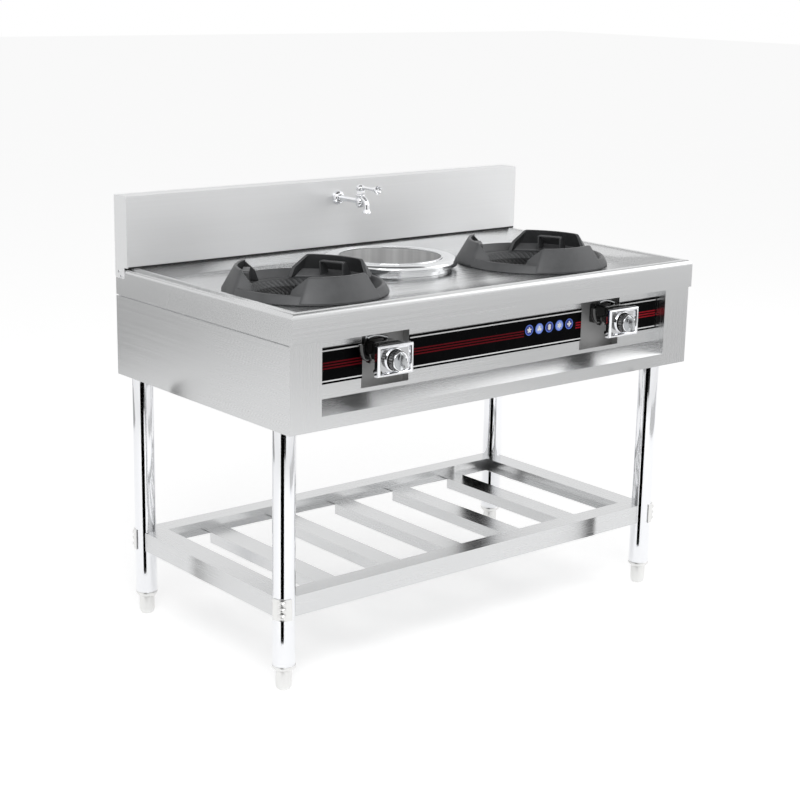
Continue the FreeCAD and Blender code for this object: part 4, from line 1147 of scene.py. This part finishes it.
# ---- pot well --------------------------------------------------------------------------------
@dataclass
class SoupPot:
    """A spun pot with a rolled flange, on its collar, with two double loops."""

    sheet: float = 0.0012
    mouth: float = 0.124
    base_corner: float = 0.016
    roll: float = 0.012
    skirt: float = 0.018
    bead: float = 0.0022
    loop_radius: float = 0.024
    loop_rod: float = 0.0030
    inner_loop: tuple[float, float] = (0.0085, 0.0022)     # inside the outer one, and its rod
    loop_root: float = 0.0035
    loop_tail: float = 0.004
    collar_seat: float = 0.014

    def pot(self) -> None:
        """Inner line from the bottom's centre to the mouth's bead, over the roll, and outside."""
        centre, edge, base, top = round_box("soup_pot")
        wall_r = self.mouth - self.sheet
        inner = soften([(0.0, base + self.sheet), (wall_r - self.base_corner, base + self.sheet),
                        (wall_r, base + self.base_corner), (wall_r, top - 0.004)], 0.012)
        bead = soften([(wall_r, top - 0.003), (wall_r + 0.0002, top), (self.mouth + 0.003, top),
                       (self.mouth + 0.004, top - self.bead)], 0.0012)
        t = quarter(20)
        fall = top - self.bead + 0.001 - (self.roll - 0.001) * (1 - np.cos(t))
        flange = np.stack((edge - self.roll * (1 - np.sin(t)), fall), axis=-1)
        under = np.array([(edge, top - self.skirt), (edge - self.sheet, top - self.skirt)])
        back = flange[::-1] - (self.sheet, self.sheet)
        outside = soften([(self.mouth, top - self.bead - self.sheet - 0.002),
                          (self.mouth, base + self.base_corner),
                          (self.mouth - self.base_corner, base), (0.0, base)], 0.012)
        profile = np.concatenate((inner, bead, flange, under, back, outside))
        shell = Shell()
        # Paint 1, the inside, has the painted reflection bands.
        for part, paint in ((profile[:len(inner)], 1), (profile[len(inner) - 1:], 0)):
            shell.skin(lathe(part, centre, steps=220), loop_u=True, paint=paint)
        shell.make("pot_spun", [BRIGHT, SPUN_PAINTED_BANDS], "pot", "polished_steel", ("soup_pot",), 28.0)

    def handles(self) -> None:
        """At each side two half loops, one inside the other."""
        low, high = span("pot_handles")
        centre = (low + high) / 2
        reach = (high[0] - low[0]) / 2 - self.loop_radius - self.loop_root
        inside, thin = self.inner_loop
        t = np.linspace(-math.pi / 2, math.pi / 2, 40)
        shell = Shell()
        for sign in (-1.0, 1.0):
            tail = (sign * self.loop_tail, 0, 0)
            for radius, rod in ((self.loop_radius, self.loop_rod),
                                (self.loop_radius - inside, thin)):
                path = np.stack((centre[0] + sign * reach + sign * radius * np.cos(t),
                                 centre[1] + radius * np.sin(t), np.full(40, centre[2])), axis=-1)
                path = np.concatenate((path[:1] - tail, path, path[-1:] - tail))
                shell.bar(tube(path, rod, (0.0, 0.0, 1.0), 20))
        shell.make("pot_loops", [CHROME], "pot", "polished_steel", ("pot_handles",))

    def collar(self) -> None:
        """The ring that carries the pot: a standing wall with a seat turned in at its top."""
        centre, radius, base, top = round_box("pot_collar")
        profile = soften([(radius - self.sheet, base), (radius, base), (radius, top),
                          (radius - self.collar_seat, top),
                          (radius - self.collar_seat, top - self.sheet),
                          (radius - self.sheet, top - self.sheet)], 0.0008, True)
        Shell().spun(profile, centre, steps=200, closed=True).make(
            "pot_seat", [BRIGHT], "range", "polished_steel", ("pot_collar",))

    def build(self) -> None:
        """Builds the pot, its loops and its collar."""
        self.pot()
        self.handles()
        self.collar()


# ---- tap -------------------------------------------------------------------------------------
@dataclass
class Tap:
    """A quarter-turn tap: ball flange, tapered arm, waisted body, curved spout and cupped lever."""

    flange_radius: float = 0.017
    arm_radius: float = 0.008
    body_radius: float = 0.012
    spout_radius: float = 0.0074
    spout_bend: float = 0.020
    spout_lip: tuple[tuple[float, float], ...] = (    # height over the lip and radius
        (0.010, 0.0078), (0.006, 0.0088), (0.003, 0.0106), (0.0005, 0.0110), (0.0, 0.0102))
    nut_bore: float = 0.0046
    cup_radius: float = 0.0105

    def flange(self) -> None:
        """A half ball: r = a + b cos t, d = h sin t."""
        low, high = span("tap_flange")
        t, small = quarter(24), self.arm_radius + 0.0006
        dome = np.stack((small + (self.flange_radius - small) * np.cos(t),
                         (high[1] - low[1]) * np.sin(t)), axis=-1)
        centre = np.array((0.0, high[1], (low[2] + high[2]) / 2))
        Shell().spun(np.concatenate(([(small, 0.0)], dome)), centre, TO_FRONT, closed=True).make(
            "tap_ball_flange", [CHROME], "range", "chrome", ("tap_flange",))

    def body(self) -> None:
        """Arm and body turned from profiles, spout as a tube on a quarter circle, flared."""
        low = span("tap_body")[0]
        arm_z, wall_y = float(middle("tap_flange")[2]), float(span("tap_flange")[1][1])
        axis = middle("tap_cap")
        reach = wall_y - axis[1]
        arm = soften([(0.0, 0.0), (self.arm_radius, 0.0), (self.arm_radius, 0.016),
                      (0.0068, 0.030), (0.0060, reach - 0.016), (0.0072, reach - 0.010),
                      (0.0072, reach), (0.0, reach)], 0.004)
        shell = Shell().spun(arm, np.array((axis[0], wall_y, arm_z)), TO_FRONT, 48)
        bottom, top = arm_z - 0.014, span("tap_cap")[0][2]
        waist = soften([(0.0, bottom), (0.0075, bottom), (0.0105, bottom + 0.003),
                        (self.body_radius, bottom + 0.010), (self.body_radius, bottom + 0.017),
                        (0.0098, bottom + 0.022), (0.0098, top - 0.005), (0.0116, top - 0.004),
                        (0.0116, top), (0.0, top)], 0.002)
        shell.spun(waist, np.array((axis[0], axis[1], 0.0)), steps=64)
        outlet_y, lip_z, t = float(low[1]) + 0.011, float(low[2]), quarter(36)
        arc = np.stack((np.full(36, axis[0]),
                        outlet_y + self.spout_bend - self.spout_bend * np.sin(t),
                        lip_z + 0.014 + self.spout_bend * np.cos(t)), axis=-1)
        above, flare = np.array(self.spout_lip).T
        drop = np.stack((np.full(len(above), axis[0]), np.full(len(above), outlet_y),
                         lip_z + above), axis=-1)
        path = np.concatenate((arc[:1] + (0, 0.006, 0.0), arc, drop))
        radius = np.concatenate((np.full(len(arc) + 1, self.spout_radius), flare))
        shell.bar(tube(path, radius, (1.0, 0.0, 0.0), 40))
        shell.make("tap_turned_body", [CHROME], "range", "chrome", ("tap_body",), 30.0)

    def cap(self) -> None:
        """The packing nut: a six-sided bar with turned-down corners."""
        axis, radius, base, top = round_box("tap_cap")
        profile = soften([(self.nut_bore, base), (radius - 0.0008, base), (radius, base + 0.0012),
                          (radius, top - 0.0012), (radius - 0.0008, top), (self.nut_bore, top)],
                         0.0004, True, 3)
        Shell().spun(profile, axis, steps=6, closed=True).make(
            "tap_nut", [CHROME], "range", "chrome", ("tap_cap",), 20.0)

    def lever(self) -> None:
        """A domed hub on its stem, and a thin arm that opens into a cup."""
        low = span("tap_lever")[0]
        axis, _, _, cap_top = round_box("tap_cap")
        base, t = float(cap_top) + 0.0003, quarter(16)
        dome = np.stack((0.011 * np.cos(t), base + 0.006 + 0.008 * np.sin(t)), axis=-1)
        hub = np.concatenate(([(0.0, low[2]), (0.0045, low[2]), (0.0045, base), (0.0105, base),
                               (0.011, base + 0.001)], dome))
        shell = Shell().spun(hub, axis, steps=64)
        reach = float(axis[1] - low[1])
        arm = soften([(0.0, 0.0), (0.0048, 0.004), (0.0040, 0.014), (0.0036, reach * 0.55),
                      (0.0042, reach * 0.72), (0.0070, reach * 0.86),
                      (self.cup_radius, reach - 0.003), (self.cup_radius, reach),
                      (self.cup_radius - 0.0014, reach), (0.0060, reach - 0.005),
                      (0.0, reach - 0.006)], 0.004)
        shell.spun(arm, np.array((axis[0], axis[1], base + 0.007)), TO_FRONT, 56)
        shell.make("tap_cup_lever", [CHROME], "lever", "chrome", ("tap_lever",), 34.0)

    def build(self) -> None:
        """Builds flange, body, nut and lever."""
        self.flange()
        self.body()
        self.cap()
        self.lever()


# ---- studio ----------------------------------------------------------------------------------
def seen_or_mirrored(tree: bpy.types.NodeTree, low: float, high: float) -> bpy.types.NodeSocket:
    """Adds nodes that tell camera, glossy and transmission rays from all others.

    Args:
        tree: The material's or the world's nodes.
        low: Value for all other rays.
        high: Value for those three kinds.

    Returns:
        The value's socket.
    """
    path = tree.nodes.new("ShaderNodeLightPath")
    either = [tree.nodes.new("ShaderNodeMath") for _ in range(2)]
    for node in either:
        node.operation = "MAXIMUM"
    level = tree.nodes.new("ShaderNodeMapRange")
    level.inputs["To Min"].default_value = low
    level.inputs["To Max"].default_value = high
    tree.links.new(path.outputs["Is Camera Ray"], either[0].inputs[0])
    tree.links.new(path.outputs["Is Glossy Ray"], either[0].inputs[1])
    tree.links.new(either[0].outputs[0], either[1].inputs[0])
    tree.links.new(path.outputs["Is Transmission Ray"], either[1].inputs[1])
    tree.links.new(either[1].outputs[0], level.inputs["Value"])
    return level.outputs["Result"]


@dataclass
class PhotoCamera:
    """The camera that took the photograph, fitted to the range's edges."""

    place: tuple[float, float, float] = (-2.5553, -3.0217, 1.5172)
    yaw: float = 39.72              # degrees from +Y towards +X
    pitch: float = 14.24            # degrees downwards
    roll: float = 1.106
    lens: float = 76.41             # millimetres on a 36 mm frame

    def build(self) -> bpy.types.Object:
        """Adds the camera and makes it the scene's own.

        Returns:
            The camera object.
        """
        yaw, pitch, roll = (math.radians(a) for a in (self.yaw, self.pitch, self.roll))
        ahead = Vector((math.sin(yaw) * math.cos(pitch), math.cos(yaw) * math.cos(pitch),
                        -math.sin(pitch)))
        right = Vector((math.cos(yaw), -math.sin(yaw), 0.0))
        up = right.cross(ahead)
        across = math.cos(roll) * right + math.sin(roll) * up
        top = -math.sin(roll) * right + math.cos(roll) * up
        data = bpy.data.cameras.new("photo camera")
        data.lens = self.lens
        data.sensor_width = 36.0
        camera = bpy.data.objects.new("photo camera", data)
        turn = Matrix((across, top, -ahead)).transposed().to_4x4()
        camera.matrix_world = Matrix.Translation(self.place) @ turn
        bpy.context.collection.objects.link(camera)
        bpy.context.scene.camera = camera
        return camera


@dataclass
class Studio:
    """A pale floor under a white sky, soft lamps, and cards that only reflections see."""

    floor_colour: float = 0.80
    floor_glow: float = 0.56
    floor_half: float = 30.0
    card_lift: float = 0.002        # over the floor
    flag_azimuth: float = 40.0      # the cards' azimuths are degrees from -Y towards -X
    flag_grey: float = 0.01
    right_azimuth: float = -40.0
    right_grey: float = 0.60
    behind: tuple[tuple[float, float], ...] = (       # corners behind the left end
        (-3.6, 2.55), (-0.8, 2.55), (-0.8, 5.0), (-3.6, 5.0))
    behind_grey: float = 0.42
    ceiling_grey: float = 0.2
    strip_turn: float = 14.0        # degrees from the camera's direction
    strip_distance: float = 0.150
    strip_width: float = 0.084
    strip_heights: tuple[float, float] = (0.020, 0.585)
    ceiling_half: float = 1.6
    ceiling_height: float = 3.6
    sky_light: float = 0.48
    key_power: float = 60.0
    fill_power: float = 20.0

    def sky(self) -> None:
        """A white sky for camera and gloss, and a dimmer one for diffuse light."""
        world = bpy.data.worlds.new("white sky")
        bpy.context.scene.world = world
        world.use_nodes = True
        tree = world.node_tree
        tree.nodes.clear()
        back = tree.nodes.new("ShaderNodeBackground")
        back.inputs["Color"].default_value = (1.0, 1.0, 1.0, 1.0)
        out = tree.nodes.new("ShaderNodeOutputWorld")
        level = seen_or_mirrored(tree, self.sky_light, 1.0)
        tree.links.new(level, back.inputs["Strength"])
        tree.links.new(back.outputs["Background"], out.inputs["Surface"])

    def floor(self) -> None:
        """A wide pale floor that keeps its shadow and reads white to the camera and in gloss.

        Its own light is added for camera, glossy and transmission rays alone.
        """
        size = self.floor_half
        corners = [(-size, -size, 0), (size, -size, 0), (size, size, 0), (-size, size, 0)]
        mesh = bpy.data.meshes.new("floor")
        mesh.from_pydata(corners, [], [(0, 1, 2, 3)])
        floor = bpy.data.objects.new("floor", mesh)
        bpy.context.collection.objects.link(floor)
        bench = Bench("pale floor")
        bench.shader.inputs["Roughness"].default_value = 0.9
        bench.shader.inputs["Specular IOR Level"].default_value = 0.0
        grey = self.floor_colour
        bench.tint(bench.noise((3.0, 3.0, 3.0)), (grey,) * 3, (min(1.0, grey * 1.01),) * 3)
        bench.shader.inputs["Emission Color"].default_value = (1.0, 1.0, 1.0, 1.0)
        bench.wire(seen_or_mirrored(bench.tree, 0.0, self.floor_glow),
                   bench.shader.inputs["Emission Strength"])
        mesh.materials.append(bench.material)

    def card(self, name: str, corners: np.ndarray, grey: float) -> None:
        """A plate of one grey that only reflections see.

        Args:
            name: The card's name.
            corners: Its four corners.
            grey: Its grey level.
        """
        mesh = bpy.data.meshes.new(name)
        mesh.from_pydata([tuple(c) for c in corners], [], [(0, 1, 2, 3)])
        card = bpy.data.objects.new(name, mesh)
        bpy.context.collection.objects.link(card)
        bench = Bench(name)
        bench.shader.inputs["Base Color"].default_value = (0.0, 0.0, 0.0, 1.0)
        bench.shader.inputs["Specular IOR Level"].default_value = 0.0
        bench.shader.inputs["Emission Color"].default_value = (grey, grey, grey, 1.0)
        bench.shader.inputs["Emission Strength"].default_value = 1.0
        mesh.materials.append(bench.material)
        for ray in ("camera", "diffuse", "shadow", "transmission", "volume_scatter"):
            setattr(card, "visible_" + ray, False)

    def floor_card(self, name: str, foot: tuple[float, float], azimuth: float, half: float,
                   near: float, far: float, grey: float) -> None:
        """A wedge-shaped card just over the floor, which steel and chrome mirror as a grey patch.

        Args:
            name: The card's name.
            foot: Where the wedge's tip would lie.
            azimuth: Its direction, degrees from -Y towards -X.
            half: Half its opening angle, in degrees.
            near: Distance of its inner edge from the tip.
            far: Distance of its outer edge.
            grey: Its grey level.
        """
        angle = np.radians(azimuth + np.array((-half, half, half, -half)))
        reach = np.array((near, near, far, far))
        corners = np.stack((foot[0] - np.sin(angle) * reach, foot[1] - np.cos(angle) * reach,
                            np.full(4, self.card_lift)), axis=-1)
        self.card(name, corners, grey)

    def standing_card(self, name: str, foot: tuple[float, float], azimuth: float, distance: float,
                      width: float, heights: tuple[float, float], grey: float) -> None:
        """An upright card that faces a place on the floor.

        Args:
            name: The card's name.
            foot: The place that it faces.
            azimuth: Its direction from there, degrees from -Y towards -X.
            distance: From that place.
            width: Across.
            heights: Lower and upper edge.
            grey: Its grey level.
        """
        angle = math.radians(azimuth)
        place = (foot[0] - math.sin(angle) * distance, foot[1] - math.cos(angle) * distance)
        along = np.array((math.cos(angle), -math.sin(angle), 0.0)) * width / 2
        low, top = (np.array((*place, z)) for z in heights)
        self.card(name, np.array((low - along, low + along, top + along, top - along)), grey)

    def lamp(self, name: str, place: tuple[float, float, float], size: float, power: float) -> None:
        """A soft square lamp aimed at the range.

        Args:
            name: The lamp's name.
            place: Where it hangs.
            size: Side in metres.
            power: Watts.
        """
        data = bpy.data.lights.new(name, "AREA")
        data.size = size
        data.energy = power
        lamp = bpy.data.objects.new(name, data)
        lamp.location = place
        aim = Vector((0.0, 0.0, 0.6)) - Vector(place)
        lamp.rotation_euler = aim.to_track_quat("-Z", "Y").to_euler()
        bpy.context.collection.objects.link(lamp)

    def build(self) -> None:
        """Sets up view, sky, floor, lamps and cards."""
        bpy.context.scene.view_settings.view_transform = "Standard"
        self.sky()
        self.floor()
        self.lamp("key lamp", (-2.2, -2.6, 3.4), 2.4, self.key_power)
        self.lamp("fill lamp", (3.0, -1.5, 2.6), 2.5, self.fill_power)
        here = (0.0, 0.0)
        self.standing_card("flag behind the camera", here, self.flag_azimuth, 6.0, 4.0, (0.3, 5.0),
                           self.flag_grey)
        eye = PhotoCamera().place
        for name in Legs().names:
            foot = tuple(middle("leg_" + name)[:2])
            towards = math.degrees(math.atan2(foot[0] - eye[0], foot[1] - eye[1]))
            self.standing_card("strip before " + name, foot, towards + self.strip_turn,
                               self.strip_distance, self.strip_width, self.strip_heights, 0.0)
        self.floor_card("grey to the right", here, self.right_azimuth, 30.0, 2.8, 6.0,
                        self.right_grey)
        self.card("grey behind the left end",
                  np.array([(x, y, self.card_lift) for x, y in self.behind]), self.behind_grey)
        level = np.array(((-1, -1), (1, -1), (1, 1), (-1, 1))) * self.ceiling_half
        self.card("dark ceiling", np.column_stack((level, np.full(4, self.ceiling_height))),
                  self.ceiling_grey)


# ---- dressing the nodes ----------------------------------------------------------------------
@dataclass
class Dressing:
    """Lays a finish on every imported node."""

    plan: dict[str, Finish] = field(default_factory=lambda: {
        "cooktop": SHEET_X, "backsplash": SPLASH, "backsplash_screws": CHROME, "back_panel": ZINC,
        "side_panel": SHEET_Y, "front_stile": SHEET_Z, "front_ledge": SHEET_X,
        "control_panel": SHEET_X,
        "fascia_strips": GLASS, "leg_sockets": ZINC, "foot_inserts": SATIN, "foot": SATIN,
        "leg": CHROME, "shelf_slats": SHEET_Y, "shelf_clamps": SATIN, "shelf_clamp_bolts": SATIN,
        "shelf_rail_front": SHEET_X, "shelf_rail_rear": SHEET_X, "shelf_rail": SHEET_Y,
        "burner_straps": ZINC, "burner_bowl": IRON, "burner_head": BURNT_IRON, "wok_ring": IRON,
        "venturi": IRON, "air_shutter": ZINC, "injectors": BRASS, "gas_manifold": PIPE,
        "manifold_brackets": ZINC, "gas_inlet": BRASS, "pot_collar": BRIGHT, "soup_pot": BRIGHT,
        "pot_handles": CHROME, "tap": CHROME, "tap_supply": ZINC, "valve_body": ENAMEL,
        "valve_stem": BRASS, "bezel": CHROME, "knob": ENAMEL,
    })

    def finish_of(self, node: str) -> Finish:
        """The finish whose key is the longest start of the node's name."""
        keys = [key for key in self.plan if node.startswith(key)]
        return self.plan[max(keys, key=len)]

    def dress(self, nodes: dict[str, bpy.types.Object]) -> None:
        """Gives each node its finish.

        Args:
            nodes: The frame's objects by node name.
        """
        for name, node in nodes.items():
            material = self.finish_of(name).build()
            for slot in node.material_slots:
                slot.material = material
            log.info("dressed %s in %s", name, material.name)


def main() -> None:
    """Builds the scene in order: frame, studio, camera, finishes and pieces."""
    logging.basicConfig(level=logging.INFO, format="%(message)s")
    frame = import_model()
    PhotoCamera().build()
    Studio().build()
    nodes = frame["nodes"]
    Dressing().dress(nodes)
    Worktop().build(nodes)
    Legs().build()
    ControlBand().build(nodes)
    for side in Side:
        ValveUnit(side).build()
        Burner(side).build()
    SoupPot().build()
    Tap().build()


if __name__ == "__main__":
    main()
